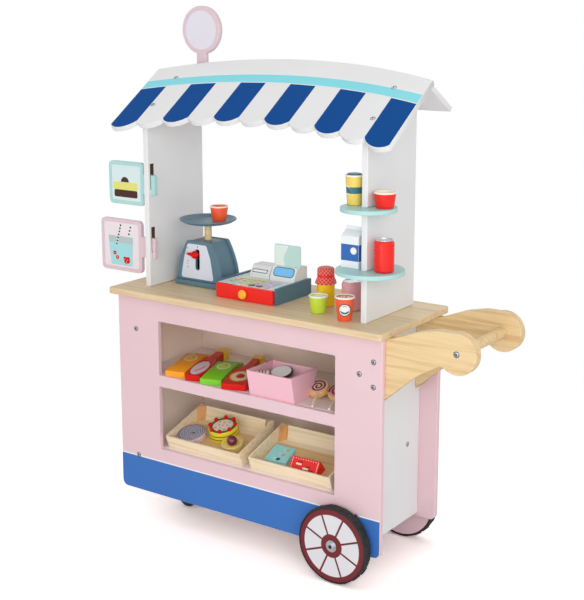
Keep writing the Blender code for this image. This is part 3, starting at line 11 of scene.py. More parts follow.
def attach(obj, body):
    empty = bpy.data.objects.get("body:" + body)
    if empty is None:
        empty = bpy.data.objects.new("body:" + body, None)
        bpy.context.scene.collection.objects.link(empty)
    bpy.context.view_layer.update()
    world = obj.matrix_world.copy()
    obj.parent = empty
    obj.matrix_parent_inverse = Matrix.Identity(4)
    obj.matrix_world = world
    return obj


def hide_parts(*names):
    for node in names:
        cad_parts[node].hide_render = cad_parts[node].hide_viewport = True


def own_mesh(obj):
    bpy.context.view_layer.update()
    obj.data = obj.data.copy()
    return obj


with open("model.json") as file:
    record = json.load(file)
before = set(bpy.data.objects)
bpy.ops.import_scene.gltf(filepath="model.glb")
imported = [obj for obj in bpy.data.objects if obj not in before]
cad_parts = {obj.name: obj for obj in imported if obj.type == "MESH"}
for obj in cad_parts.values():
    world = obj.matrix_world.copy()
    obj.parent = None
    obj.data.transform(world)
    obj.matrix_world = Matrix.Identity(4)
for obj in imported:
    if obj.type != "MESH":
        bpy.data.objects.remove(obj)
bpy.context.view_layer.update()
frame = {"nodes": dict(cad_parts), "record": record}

# Lengths are in metres, from the counter's middle as in the part's source: the handle is at +x,
# customers stand at -y, the floor is z = 0. SHIFT takes such a point to the row frame.
SHIFT = np.array([-0.046, -0.003, 0.0])
# Neighbours that could touch stay GAP apart. A print stands FILM above its face and goes down to BURIED.
GAP = 0.0003
FILM = 0.00012
BURIED = -0.00004
SIGN_RECESS = 0.0008
PALETTE = {}
SLOTS = {entry["node"]: entry["material_slot"] for entry in frame["record"]["subparts"]}

COUNTER_TOP = 0.4563
LOWER_ROUND_TOP = 0.5463
UPPER_ROUND_TOP = 0.6533
PANEL_FACE_Y = -0.100
PANEL_HALF = 0.2925
SHELF_TOP = 0.2963
DECK_TOP = 0.1503

ROOF_HALF = 0.300
ROOF_ANGLE = math.radians(34.6)
ROOF_Y = 0.0390
ROOF_Z = 0.8584
ROOF_T = 0.010
ROOF_ARCH = 0.044
ROOF_LENGTH = 0.183
LOBES = 11
LOBE_DEPTH = 0.014
LOBE_W = 2.0 * ROOF_HALF / LOBES

POST_X = 0.2375
POST_SLIT_HALF = 0.0058
ROUND_SHELF_T = 0.0075
ROUND_SIGN_Y = 0.072
HANGING_SIGN_Y = -0.0645
GRIP_X = 0.422
GRIP_Z = 0.4365
FLASK_XY = (0.117, -0.003)

SCALE_X = -0.163
SCALE_FACE_Y = -0.014
SCALE_FOOT = 0.4653
SCALE_TOP = 0.542
SCALE_SLOT_X = -0.1665
DOWEL_XY = (-0.165, 0.017)

WHEEL_X = 0.211
WHEEL_Z = 0.069
DISC_R = 0.0654
DISC_T = 0.018
TYRE_WIDTH = 0.020
AXLE_FRONT_Y = -0.129
AXLE_BACK_Y = 0.135
FRONT_WHEEL_Y = -0.1245
BACK_WHEEL_Y = 0.1305

CRATE_SLOPE = math.atan2(0.026, 0.092)
CRATE_FRONT_Y = -0.080
CRATE_FLOOR_Z = DECK_TOP + 0.004


# ---- colours and nodes

def linear(code, level=1.0):
    """Screen colour such as "EBCBD2", times a level, as linear red, green, blue and alpha."""
    values = [int(code[i:i + 2], 16) / 255.0 for i in (0, 2, 4)]
    return [level * (((c + 0.055) / 1.055) ** 2.4 if c > 0.04045 else c / 12.92) for c in values] + [1.0]


def add(tree, kind, inputs=None, out=0, **settings):
    """Add one node with its settings, feed its inputs with sockets or plain values, return one output."""
    node = tree.nodes.new("ShaderNode" + kind)
    for name, value in settings.items():
        setattr(node, name, value)
    for name, value in (inputs or {}).items():
        if isinstance(value, bpy.types.NodeSocket):
            tree.links.new(value, node.inputs[name])
        else:
            node.inputs[name].default_value = value
    return node.outputs[out] if len(node.outputs) else None


def material(name, make):
    """A material whose Principled shader takes the inputs that make(tree, point) returns."""
    item = bpy.data.materials.new(name)
    item.use_nodes = True
    tree = item.node_tree
    tree.nodes.clear()
    point = add(tree, "TexCoord", out=3)
    shader = add(tree, "BsdfPrincipled", make(tree, point))
    add(tree, "OutputMaterial", {0: shader})
    PALETTE[name] = item


def lacquer(name, code, rough=0.38, cloud=0.035, lump=1100.0, height=0.000006, coat=0.0, shine=0.45):
    """Sprayed satin lacquer on board: even colour with faint clouds 90 mm wide, slightly rubbed patches,
    and an orange peel of 1 mm lumps a few microns high that softens reflections."""
    def make(tree, point):
        clouds = add(tree, "TexNoise", {"Vector": point, "Scale": 11.0, "Detail": 2.0})
        rubbed = add(tree, "TexNoise", {"Vector": point, "Scale": 45.0, "Detail": 4.0})
        lumps = add(tree, "TexNoise", {"Vector": point, "Scale": lump, "Detail": 1.0})
        return {
            "Base Color": add(tree, "Mix", {0: clouds, 6: linear(code, 1.0 - cloud), 7: linear(code, 1.0 + cloud)},
                              2, data_type="RGBA"),
            "Roughness": add(tree, "MapRange", {"Value": rubbed, "To Min": rough - 0.09, "To Max": rough + 0.09}),
            "Normal": add(tree, "Bump", {"Height": lumps, "Distance": height}),
            "Coat Weight": coat,
            "Specular IOR Level": shine,
        }
    material(name, make)


def pine(name, code, dark, grain, strip=0.0, rough=0.42, depth=0.55):
    """Clear-lacquered softwood: darker growth lines and fine fibres drawn out along the grain, which runs where
    the three frequencies in grain (per metre along x, y, z) are low; glued strips of their own tint if strip,
    their width in metres, is given."""
    def make(tree, point):
        stretched = add(tree, "Mapping", {"Vector": point, "Scale": grain}, vector_type="POINT")
        lines = add(tree, "TexNoise", {"Vector": stretched, "Scale": 1.0, "Detail": 3.0, "Distortion": 0.6})
        fine = add(tree, "Mapping", {"Vector": point, "Scale": [4.0 * g for g in grain]})
        fibres = add(tree, "TexNoise", {"Vector": fine, "Scale": 2.0, "Detail": 3.0})
        sharp = add(tree, "MapRange", {"Value": lines, "From Min": 0.46, "From Max": 0.68,
                                       "To Max": depth}, interpolation_type="SMOOTHSTEP")
        share = add(tree, "Math", {0: fibres, 1: 0.35, 2: sharp}, operation="MULTIPLY_ADD")
        colour = add(tree, "Mix", {0: share, 6: linear(code, 1.08), 7: linear(dark)}, 2, data_type="RGBA")
        if strip:
            across = add(tree, "SeparateXYZ", {0: point}, 1)
            number = add(tree, "Math", {0: across, 1: 1.0 / strip}, operation="MULTIPLY")
            number = add(tree, "Math", {0: number}, operation="FLOOR")
            tint = add(tree, "TexWhiteNoise", {"W": number}, noise_dimensions="1D")
            level = add(tree, "MapRange", {"Value": tint, "To Min": 0.93, "To Max": 1.05})
            colour = add(tree, "VectorMath", {0: colour, "Scale": level}, operation="SCALE")
        return {
            "Base Color": colour,
            "Roughness": add(tree, "MapRange", {"Value": fibres, "To Min": rough - 0.08, "To Max": rough + 0.1}),
            "Normal": add(tree, "Bump", {"Height": fibres, "Distance": 0.00002}),
        }
    material(name, make)


def rubber(name, code):
    """Soft moulded rubber: dull black, a bloom of paler dust in patches, and a fine matt skin."""
    def make(tree, point):
        dust = add(tree, "TexNoise", {"Vector": point, "Scale": 70.0, "Detail": 5.0, "Roughness": 0.65})
        skin = add(tree, "TexNoise", {"Vector": point, "Scale": 2400.0, "Detail": 2.0})
        share = add(tree, "MapRange", {"Value": dust, "From Min": 0.45, "From Max": 0.8, "To Max": 0.6})
        return {
            "Base Color": add(tree, "Mix", {0: share, 6: linear(code), 7: linear("3A393A")}, 2, data_type="RGBA"),
            "Roughness": add(tree, "MapRange", {"Value": dust, "To Min": 0.62, "To Max": 0.88}),
            "Normal": add(tree, "Bump", {"Height": skin, "Distance": 0.00002}),
        }
    material(name, make)


def metal(name, code, rough=0.28):
    """Zinc-plated steel: cloudy crystals a few millimetres wide that change the gloss and the tone a little."""
    def make(tree, point):
        crystals = add(tree, "TexVoronoi", {"Vector": point, "Scale": 420.0}, 1)
        level = add(tree, "SeparateXYZ", {0: crystals})
        haze = add(tree, "TexNoise", {"Vector": point, "Scale": 300.0, "Detail": 4.0})
        return {
            "Base Color": add(tree, "Mix", {0: level, 6: linear(code, 0.86), 7: linear(code, 1.05)}, 2,
                              data_type="RGBA"),
            "Metallic": 1.0,
            "Roughness": add(tree, "MapRange", {"Value": haze, "To Min": rough - 0.1, "To Max": rough + 0.12}),
        }
    material(name, make)


def card_stock(name, code):
    """Coated card: pale, nearly matt, with paper fibres half a millimetre wide in tone and relief."""
    def make(tree, point):
        fibres = add(tree, "TexNoise", {"Vector": point, "Scale": 1500.0, "Detail": 3.0})
        return {
            "Base Color": add(tree, "Mix", {0: fibres, 6: linear(code, 0.95), 7: linear(code, 1.05)}, 2,
                              data_type="RGBA"),
            "Roughness": 0.55,
            "Normal": add(tree, "Bump", {"Height": fibres, "Distance": 0.00001}),
        }
    material(name, make)


def checked_cotton(name, code, other, axis, around, along):
    """Checked cotton: checks in two colours, around times round the upright axis at x, y (row frame) and along per
    metre of height, with threads 0.4 mm wide in relief, and a matt fuzzy skin."""
    def make(tree, point):
        place = add(tree, "VectorMath", {0: point, 1: (-axis[0], -axis[1], 0.0)}, operation="ADD")
        x, y, z = [add(tree, "SeparateXYZ", {0: place}, number) for number in range(3)]
        angle = add(tree, "Math", {0: y, 1: x}, operation="ARCTAN2")
        turn = add(tree, "Math", {0: angle, 1: around / math.pi}, operation="MULTIPLY")
        rise = add(tree, "Math", {0: z, 1: along}, operation="MULTIPLY")
        cells = add(tree, "CombineXYZ", {0: turn, 1: rise, 2: 0.5})
        checks = add(tree, "TexChecker", {"Vector": cells, "Scale": 1.0}, 1)
        threads = add(tree, "TexWave", {"Vector": point, "Scale": 400.0}, 1, bands_direction="Z")
        return {
            "Base Color": add(tree, "Mix", {0: checks, 6: linear(code), 7: linear(other)}, 2, data_type="RGBA"),
            "Roughness": 0.8,
            "Sheen Weight": 0.3,
            "Normal": add(tree, "Bump", {"Height": threads, "Distance": 0.00004}),
        }
    material(name, make)


checked_cotton("red_checked_cotton", "D2201C", "EE8272", FLASK_XY + SHIFT[:2], 15.0, 300.0)
# Name and colour of each lacquer, by roughness, weight of its clear coat and shine. Satin board paint, at 0.38, gives
# wide soft highlights. Screen print is flat ink at 0.34 to 0.45; the dark inks shine less, so they stay deep. Gloss toy
# paint, near 0.3 under a thin clear coat, gives small clear highlights.
# The grey that ends the second group paints the shadows under the register's keys.
# The pale warm lacquer that ends the first group paints bounced light inside the cabinet.
for rough, coat, shine, colours in (
        (0.38, 0.0, 0.45, """
            satin_pink_lacquer E7C7CE  satin_white_lacquer E8E8E9  satin_shelf_lacquer F2E8E8
            satin_mint_lacquer AFDAD7  satin_rose_lacquer DFC6CD  pale_rose_lacquer EDE2E7  pale_mint_lacquer D9EAEA
            pale_lavender_print E4DFE8  dial_lacquer DDE2EE  blue_grey_lacquer 5B7C8C  register_blue_lacquer 4A6F82
            box_pink_lacquer F4BECD  plate_white_paint FBFDFD  pale_print E4E5E4  warm_lining_lacquer FBEADD"""),
        (0.34, 0.0, 0.45, """
            carton_orange_paint_film FDA51E  carton_green_paint_film 7CCC24  carton_white_paint_film EEF1F4
            print_white F1F1F1  print_cream F6EFD8  print_cyan 7FDCE6  print_teal 2E6F78  print_yellow F3C62A
            print_key_green C9E08A  print_key_violet DACBE2  print_key_cyan BFE3DF  print_key_sand E8CF8E
            print_pale_lime E3E27A  print_glass_grey B4C6C4  print_pale_cyan A5DDE2  print_ring_gold F1DC92
            print_ring_green DDF0C0  print_label_sand E6DBBB  print_label_lilac E6D8E2  snack_cyan_paint A2F0F0
            print_key_grey 83939A"""),
        (0.36, 0.0, 0.45, """
            print_wheel_pale DDDCE0  print_lilac 878AA4  print_slate 3A3F4A  print_dark_green 3F6B3A
            lollipop_side_lacquer EDBC78  lollipop_face_print EBC9B2"""),
        (0.40, 0.0, 0.45, "print_paper_yellow F3D565"),
        (0.40, 0.0, 0.20, "print_dark_brown 4B2F27  print_black 2A2526"),
        (0.40, 0.0, 0.25, "print_wheel_red 74292E"),
        (0.45, 0.0, 0.04, "print_blue 0B4B92"),
        (0.42, 0.0, 0.25, "print_band_blue 3B72BE"),
        (0.34, 0.0, 0.30, "print_milk_blue 3569B4"),
        (0.20, 0.2, 0.45, "print_screen_blue 6FC0F4"),
        (0.28, 0.5, 0.45, "print_purple_red 6E2036"),
        (0.30, 0.15, 0.30, "red_gloss_paint F0231A  lemon_gloss_paint FAD015  cake_lemon_paint F3E036"),
        (0.30, 0.05, 0.15, "deep_red_gloss_paint D61410"),
        (0.30, 0.3, 0.45, """
            yellow_gloss_paint F9B82B  lime_gloss_paint C2E03A  orange_gloss_paint F25A2E
            can_pink_paint_film EBA6AE""")):
    words = colours.split()
    for name, code in zip(words[::2], words[1::2]):
        lacquer(name, code, rough, coat=coat, shine=shine)
lacquer("raw_board_edge", "5A3A2A", rough=0.7, cloud=0.12, lump=2200.0, height=0.00003)
pine("lacquered_pine", "E6D0AB", "C59B63", (5.0, 150.0, 150.0), strip=0.039, depth=0.3)
pine("handle_pine", "E7CD9E", "C99D62", (5.0, 150.0, 120.0), depth=0.42)
pine("crate_wood", "F4E6C9", "DDBF8E", (6.0, 120.0, 170.0), rough=0.55, depth=0.35)
# crate_floor_pine, also used on the box's blocks, is a warmer pine, darkened partly to paint the shade on the crate
# floors.
pine("crate_floor_pine", "EBCB98", "CCA169", (7.0, 130.0, 170.0), rough=0.55, depth=0.35)
pine("block_pine", "E2A564", "B37331", (120.0, 120.0, 12.0), rough=0.5)
rubber("black_rubber", "1C1C1D")
metal("zinc_steel", "C8CBD0")
metal("can_end_metal", "D4D6DA", rough=0.22)
card_stock("mint_card", "BFE0DA")
card_stock("pale_card_print", "E4F2EA")

BY_SLOT = {
    "pink_paint": "satin_pink_lacquer", "white_paint": "satin_white_lacquer", "shelf_paint": "satin_shelf_lacquer",
    "pine": "lacquered_pine", "pine_handle": "handle_pine", "mint_paint": "satin_mint_lacquer",
    "rose_paint": "satin_rose_lacquer", "wheel_paint": "print_wheel_red", "tyre_rubber": "black_rubber",
    "caster_rubber": "black_rubber", "steel": "zinc_steel", "blue_grey_paint": "blue_grey_lacquer",
    "register_blue_paint": "register_blue_lacquer", "red_paint": "red_gloss_paint",
    "yellow_paint": "yellow_gloss_paint", "key_paint": "pale_print", "block_paint": "pale_print",
    "card_board": "mint_card", "crate_wood": "crate_wood", "box_paint": "box_pink_lacquer",
    "lime_paint": "lime_gloss_paint", "orange_paint": "orange_gloss_paint",
    "can_pink_paint": "can_pink_paint_film", "carton_white_paint": "carton_white_paint_film",
    "carton_orange_paint": "carton_orange_paint_film", "carton_green_paint": "carton_green_paint_film",
    "cake_paint": "cake_lemon_paint",
}


# ---- places: each takes outline coordinates u, v and a depth or height w to the row frame

def lay(x, y, z):
    """Points from layout coordinates: the three arrays side by side, moved by SHIFT."""
    return np.stack(np.broadcast_arrays(x, y, z), -1) + SHIFT


def facing(y):
    """Outline in x and z; w goes from y towards the back."""
    return lambda u, v, w: lay(u, y + w, v)


def lying(z, x=0.0, y=0.0, turn=0.0, front=1.0):
    """Outline flat at height z, turned about its own zero point at x, y; w goes up. Heights are scaled by front at
    v = 0, rising evenly to 1 at v = 85 mm, so a toy can be thinner towards its near end."""
    c, s = math.cos(turn), math.sin(turn)
    return lambda u, v, w: lay(x + u * c - v * s, y + u * s + v * c,
                               z + w * (front + (1.0 - front) * np.clip(v / 0.085, 0.0, 1.0)))


def sideways(x):
    """Outline in y and z; w goes along +x."""
    return lambda u, v, w: lay(x + w, u, v)


def standing(x, y, z):
    """Upright turned shape with its foot at x, y, z."""
    return lambda u, v, w: lay(x + u, y + v, z + w)


def across(x, y, z, way=1.0):
    """Turned shape on an axis along y, its height going back, or forward if way is -1."""
    return lambda u, v, w: lay(x + u, y + way * w, z + v)


def on_roof(u, v, w):
    """Outline on the front roof board's outer face; w goes down into the board."""
    c, s = math.cos(ROOF_ANGLE), math.sin(ROOF_ANGLE)
    return lay(u, ROOF_Y + v * c + w * s, ROOF_Z + v * s - w * c)


def on_slope(y, z, angle):
    """Outline on a face that rises towards the back from y, z at an angle; w goes into the face."""
    c, s = math.cos(angle), math.sin(angle)
    return lambda u, v, w: lay(u, y + v * c + w * s, z + v * s - w * c)


def in_crate(x, along, lift=GAP):
    """Shape standing on a crate's sloping floor, upright to it, at x and a distance up the slope."""
    c, s = math.cos(CRATE_SLOPE), math.sin(CRATE_SLOPE)
    return lambda u, v, w: lay(x + u, CRATE_FRONT_Y + (along + v) * c - (w + lift) * s,
                               CRATE_FLOOR_Z + (along + v) * s + (w + lift) * c)


def round_wall(x, y, z, foot_r, top_r, height, facing_angle):
    """Outline wrapped round a cone from foot to top: the angle is u / radius, w goes in towards the axis."""
    def place(u, v, w):
        radius = foot_r + (top_r - foot_r) * v / height
        angle = facing_angle + u / radius
        return lay(x + (radius - w) * np.cos(angle), y + (radius - w) * np.sin(angle), z + v)
    return place


def top_of(place, height):
    """The face at a height over another place, seen from above: w runs down from it."""
    return lambda u, v, w: place(u, v, height - w)


def over(place):
    """The same face one film higher."""
    return lambda u, v, w: place(u, v, w - FILM)


def moved(place, right, up):
    """The same face with its zero point moved."""
    return lambda u, v, w: place(right + u, up + v, w)


# ---- outlines and profiles

def unit(vectors):
    """Vectors divided by their lengths."""
    return vectors / np.maximum(np.linalg.norm(vectors, axis=-1, keepdims=True), 1e-12)


def rounded(corners, steps=5, closed=True):
    """Outline with each corner (u, v, radius) replaced by its arc. The arc's centre is radius / sin(half the
    corner's angle) along the bisector, and its points turn evenly from one side's tangent point to the other's."""
    data = np.array(corners, float)
    here = data[:, :2]
    radius = data[:, 2:3].copy()
    if not closed:
        radius[[0, -1]] = 0.0
    before = unit(np.roll(here, 1, 0) - here)
    after = unit(np.roll(here, -1, 0) - here)
    half = np.arccos(np.clip((before * after).sum(1, keepdims=True), -1.0, 0.999999)) / 2.0
    flat = half > 1.5607
    middle = here + unit(before + after) * np.where(flat, 0.0, radius / np.sin(half))
    reach = np.where(flat, 0.0, radius / np.tan(half))
    first = here + before * reach - middle
    last = here + after * reach - middle
    share = np.linspace(0.0, 1.0, steps + 1)[None, :, None]
    sweep = np.where(flat, 0.1, math.pi - 2.0 * half)[:, None]
    arcs = (first[:, None] * np.sin((1.0 - share) * sweep) + last[:, None] * np.sin(share * sweep)) / np.sin(sweep)
    points = (middle[:, None] + arcs).reshape(-1, 2)
    points = np.where(np.repeat(radius <= 0.0, steps + 1, 0), np.repeat(here, steps + 1, 0), points)
    keep = np.linalg.norm(points - np.roll(points, 1, 0), axis=1) > 1e-7
    keep[0] = True if not closed else keep[0]
    return points[keep]


def box_outline(left, right, low, high, radius=0.0006, steps=5):
    """Rectangle with four equal round corners."""
    return rounded([(left, low, radius), (right, low, radius), (right, high, radius), (left, high, radius)], steps)


def both_sides(half):
    """Corners of an outline's right half from the foot up, then their mirror images in u from the top down."""
    half = np.array(half, float)
    return np.concatenate([half, half[::-1] * (-1.0, 1.0, 1.0)])


def arc(u, v, radius, start, end, steps):
    """Points on a circle from one angle to another, ends included."""
    angle = np.linspace(start, end, steps + 1)
    return np.stack([u + radius * np.cos(angle), v + radius * np.sin(angle)], 1)


def disc(u, v, radius, steps=48, squash=1.0):
    """Full circle, or an oval if squash, its height over its width, isn't 1."""
    points = arc(0.0, 0.0, radius, 0.0, 2.0 * math.pi, steps)[:-1]
    return points * (1.0, squash) + (u, v)


def crossed(u, v):
    """Flat points from u and v, a column and a row making a grid of them."""
    return np.stack(np.broadcast_arrays(u, v), -1)


def polar(radius, angle):
    """Flat points (r cos a, r sin a) from radii r and angles a."""
    return crossed(radius * np.cos(angle), radius * np.sin(angle))


def hoop(inner, outer, low, height):
    """Square profile of a thin raised line round a turned shape."""
    return [(inner, low), (outer, low), (outer, low + height), (inner, low + height)]


# ---- surfaces: each returns points and a list of face arrays

def grid(points, wrap_rows=False, wrap_cols=False):
    """Quads between neighbours of a rows x columns array of points; a wrapped direction closes on itself."""
    rows, cols = points.shape[:2]
    i, j = np.meshgrid(np.arange(rows if wrap_rows else rows - 1), np.arange(cols if wrap_cols else cols - 1),
                       indexing="ij")
    k, m = (i + 1) % rows, (j + 1) % cols
    quads = np.stack([i * cols + j, k * cols + j, k * cols + m, i * cols + m], -1).reshape(-1, 4)
    return points.reshape(-1, 3), [quads]


def wound(loop, way):
    """Outline run anticlockwise for way 1, clockwise for -1."""
    u, v = loop.T
    area = (u * np.roll(v, -1) - np.roll(u, -1) * v).sum()
    return loop if area * way > 0.0 else loop[::-1]


def board(outline, thick, place, ease=0.0012, holes=(), steps=4):
    """Board of even thickness. Its edges are quarter rounds: at angle a from the face the outline moves in by
    ease (1 - sin a) along its mitre and down by ease (1 - cos a); the normal turns with a, so faces stay flat."""
    loops = [wound(np.array(outline, float), 1.0)] + [wound(np.array(hole, float), -1.0) for hole in holes]
    turn = np.linspace(0.0, math.pi / 2.0, steps + 1)
    turn = np.concatenate([turn, turn[::-1]])
    front = np.arange(len(turn)) <= steps
    inset = (ease * (1.0 - np.sin(turn)))[:, None, None]
    depth = np.where(front, ease * (1.0 - np.cos(turn)), thick - ease * (1.0 - np.cos(turn)))
    lift = np.where(front, -np.cos(turn), np.cos(turn))
    points, normals, faces, near, far, near_flat, far_flat, count = [], [], [], [], [], [], [], 0
    for loop in loops:
        first = unit(loop - np.roll(loop, 1, 0))
        second = unit(np.roll(loop, -1, 0) - loop)
        side_a = np.stack([first[:, 1], -first[:, 0]], 1)
        side_b = np.stack([second[:, 1], -second[:, 0]], 1)
        mitre = (side_a + side_b) / (1.0 + (side_a * side_b).sum(1, keepdims=True))
        flat = loop[None] - mitre[None] * inset
        deep = np.repeat(depth[:, None], len(loop), 1)
        here = place(flat[..., 0], flat[..., 1], deep)
        out = unit(mitre)[None] * np.sin(turn)[:, None, None]
        step = 1e-5
        tip = place(flat[..., 0] + step * out[..., 0], flat[..., 1] + step * out[..., 1],
                    deep + step * lift[:, None])
        verts, quads = grid(here, wrap_cols=True)
        points.append(verts)
        normals.append(unit(tip - here).reshape(-1, 3))
        faces.append(quads[0] + count)
        near.append(count + np.arange(len(loop)))
        far.append(near[-1] + len(loop) * (len(turn) - 1))
        near_flat.append([Vector((*p, 0.0)) for p in flat[0]])
        far_flat.append([Vector((*p, 0.0)) for p in flat[-1]])
        count += len(verts)
    faces.append(np.concatenate(near)[np.array(tessellate_polygon(near_flat))])
    faces.append(np.concatenate(far)[np.array(tessellate_polygon(far_flat))])
    return np.concatenate(points), faces, np.concatenate(normals)


def turned(profile, place, steps=64, ring=False):
    """Profile of radius r and height h turned about its axis: (r cos a, r sin a, h) for a all the way round."""
    r, h = np.array(profile, float).T
    angle = np.arange(steps) * 2.0 * math.pi / steps
    points = place(np.outer(r, np.cos(angle)), np.outer(r, np.sin(angle)), np.repeat(h[:, None], steps, 1))
    return grid(points, wrap_rows=ring, wrap_cols=True)


def film(outline, place, low=BURIED, high=FILM, rings=1):
    """Thin printed patch: its outline drawn in towards its middle in even steps, once at the top height and once
    at the bottom. Heights are above the face, so w is minus the height."""
    loop = np.array(outline, float)
    middle = loop.mean(0)
    share = np.concatenate([np.linspace(0.0, 1.0, rings + 1), np.linspace(1.0, 0.0, rings + 1)])
    height = np.where(np.arange(len(share)) <= rings, high, low)
    flat = middle + share[:, None, None] * (loop - middle)
    return grid(place(flat[..., 0], flat[..., 1], -np.repeat(height[:, None], len(loop), 1)), wrap_cols=True)


def dots(place, radius, steps, spots, high=FILM):
    """Small round films at the spots (r, angle) of a face."""
    return [film(disc(r * math.cos(a), r * math.sin(a), radius, steps), place, high=high) for r, a in spots]


def patch(points, place):
    """Thin printed patch over a rows x columns array of u, v points; its two short ends close to nothing."""
    flat = np.concatenate([points[:1], points, points[-1:]])
    rows, cols = flat.shape[:2]
    top = np.full((rows, cols), FILM)
    top[[0, -1]] = BURIED
    loop = np.concatenate([flat, flat[:, ::-1]], 1)
    height = np.concatenate([top, np.full((rows, cols), BURIED)], 1)
    return grid(place(loop[..., 0], loop[..., 1], -height), wrap_cols=True)


def sweep(path, radius, sides):
    """Round bar along a path that is never upright: circles of the given radius at right angles to it, flat ends."""
    path = np.array(path, float)
    radius = np.broadcast_to(radius, len(path))
    ahead = unit(np.gradient(path, axis=0))
    side = unit(np.cross(ahead, (0.0, 0.0, 1.0)))
    over = np.cross(side, ahead)
    path = np.concatenate([path[:1], path, path[-1:]])
    side = np.concatenate([side[:1], side, side[-1:]])
    over = np.concatenate([over[:1], over, over[-1:]])
    radius = np.concatenate([[0.0], radius, [0.0]])[:, None, None]
    angle = np.arange(sides) * 2.0 * math.pi / sides
    rim = side[:, None] * np.cos(angle)[None, :, None] + over[:, None] * np.sin(angle)[None, :, None]
    return grid(path[:, None] + radius * rim + SHIFT, wrap_cols=True)


def loft(rings):
    """Skin over a run of equal rings of points, closed at both ends by a point in the middle."""
    rings = np.array(rings, float)
    first = np.repeat(rings[:1].mean(1, keepdims=True), rings.shape[1], 1)
    last = np.repeat(rings[-1:].mean(1, keepdims=True), rings.shape[1], 1)
    return grid(np.concatenate([first, rings, last]), wrap_cols=True)


def piece(name, finish, *shapes, body="cart_body", node=None, sharp=32.0):
    """One object from shapes: seams and poles welded, faces turned outward, flat faces kept flat, on its body. With
    a node it stands for that CAD node, which it hides."""
    points = np.concatenate([shape[0] for shape in shapes])
    starts = np.cumsum([0] + [len(shape[0]) for shape in shapes])
    faces = [face for shape, start in zip(shapes, starts) for part in shape[1] for face in (part + start).tolist()]
    mesh = bpy.data.meshes.new(name)
    mesh.from_pydata(points.tolist(), [], faces)
    shaded = all(len(shape) == 3 for shape in shapes)
    work = bmesh.new()
    work.from_mesh(mesh)
    if not shaded:
        bmesh.ops.remove_doubles(work, verts=work.verts, dist=1e-6)
        bmesh.ops.dissolve_degenerate(work, edges=work.edges, dist=1e-7)
    bmesh.ops.recalc_face_normals(work, faces=work.faces)
    work.to_mesh(mesh)
    work.free()
    mesh.shade_smooth()
    if shaded:
        mesh.normals_split_custom_set_from_vertices(np.concatenate([shape[2] for shape in shapes]).tolist())
    else:
        mesh.set_sharp_from_angle(angle=math.radians(sharp))
    mesh.materials.append(PALETTE[finish])
    item = bpy.data.objects.new(name, mesh)
    bpy.context.scene.collection.objects.link(item)
    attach(item, body)
    if node:
        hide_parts(node)
    return item


def prints(place, rows, body="cart_body", rings=1):
    """Printed films on one face. Each row is a name, a finish, the height above the face, then the outlines."""
    for name, finish, high, *outlines in rows:
        piece(name, finish, *[film(outline, place, high=high, rings=rings) for outline in outlines], body=body)


def solid(name, finish, corners, place, round_steps=5, steps=64, **about):
    """Turned piece from the corners (r, h, radius) of its half profile, closed to the axis at both ends."""
    corners = [(0.0, corners[0][1], 0.0), *corners, (0.0, corners[-1][1], 0.0)]
    return piece(name, finish, turned(rounded(corners, round_steps, False), place, steps), **about)


def screw(name, place, radius=0.0036):
    """Domed screw head. A dark ring round it paints the shadow in its countersink, and a dark four-armed patch on it
    paints the shade inside its cross recess.
    """
    dome = [(0.0, 0.0), (radius, 0.0), (radius, 0.0005), (radius * 0.92, 0.0009), (radius * 0.6, 0.0012),
            (0.0, 0.0013)]
    piece(name, "zinc_steel", turned(dome, lambda u, v, w: place(u, v, -w), 24))
    # Dark ring: painted shadow of the countersink round the head.
    piece(name + "_rim", "print_slate", film(disc(0.0, 0.0, radius * 1.28, 24), place))
    arm, half = radius * 0.64, radius * 0.16
    cross = [(arm, -half), (arm, half), (half, half), (half, arm), (-half, arm), (-half, half), (-arm, half),
             (-arm, -half), (-half, -half), (-half, -arm), (half, -arm), (half, -half)]
    # Dark cross: painted shade inside the cross recess.
    piece(name + "_recess", "print_black", film(cross, place, 0.0009, 0.00138))


# ---- canopy

def arch(u):
    """Rise of the board's top edge over its corners: a circle through the three points."""
    radius = (ROOF_HALF ** 2 + ROOF_ARCH ** 2) / (2.0 * ROOF_ARCH)
    return ROOF_ARCH - radius + np.sqrt(radius ** 2 - u ** 2)


def lobe_drop(t):
    """How far a lobe hangs below its ends at share t of its width, as a round arc."""
    half = LOBE_W / 2.0
    radius = (half ** 2 + LOBE_DEPTH ** 2) / (2.0 * LOBE_DEPTH)
    return np.sqrt(radius ** 2 - ((2.0 * t - 1.0) * half) ** 2) - radius + LOBE_DEPTH


def band_top(u):
    """Upper edge of the canopy's coloured band."""
    return arch(u) - 0.0472 + 0.0072 * (u / ROOF_HALF) ** 2


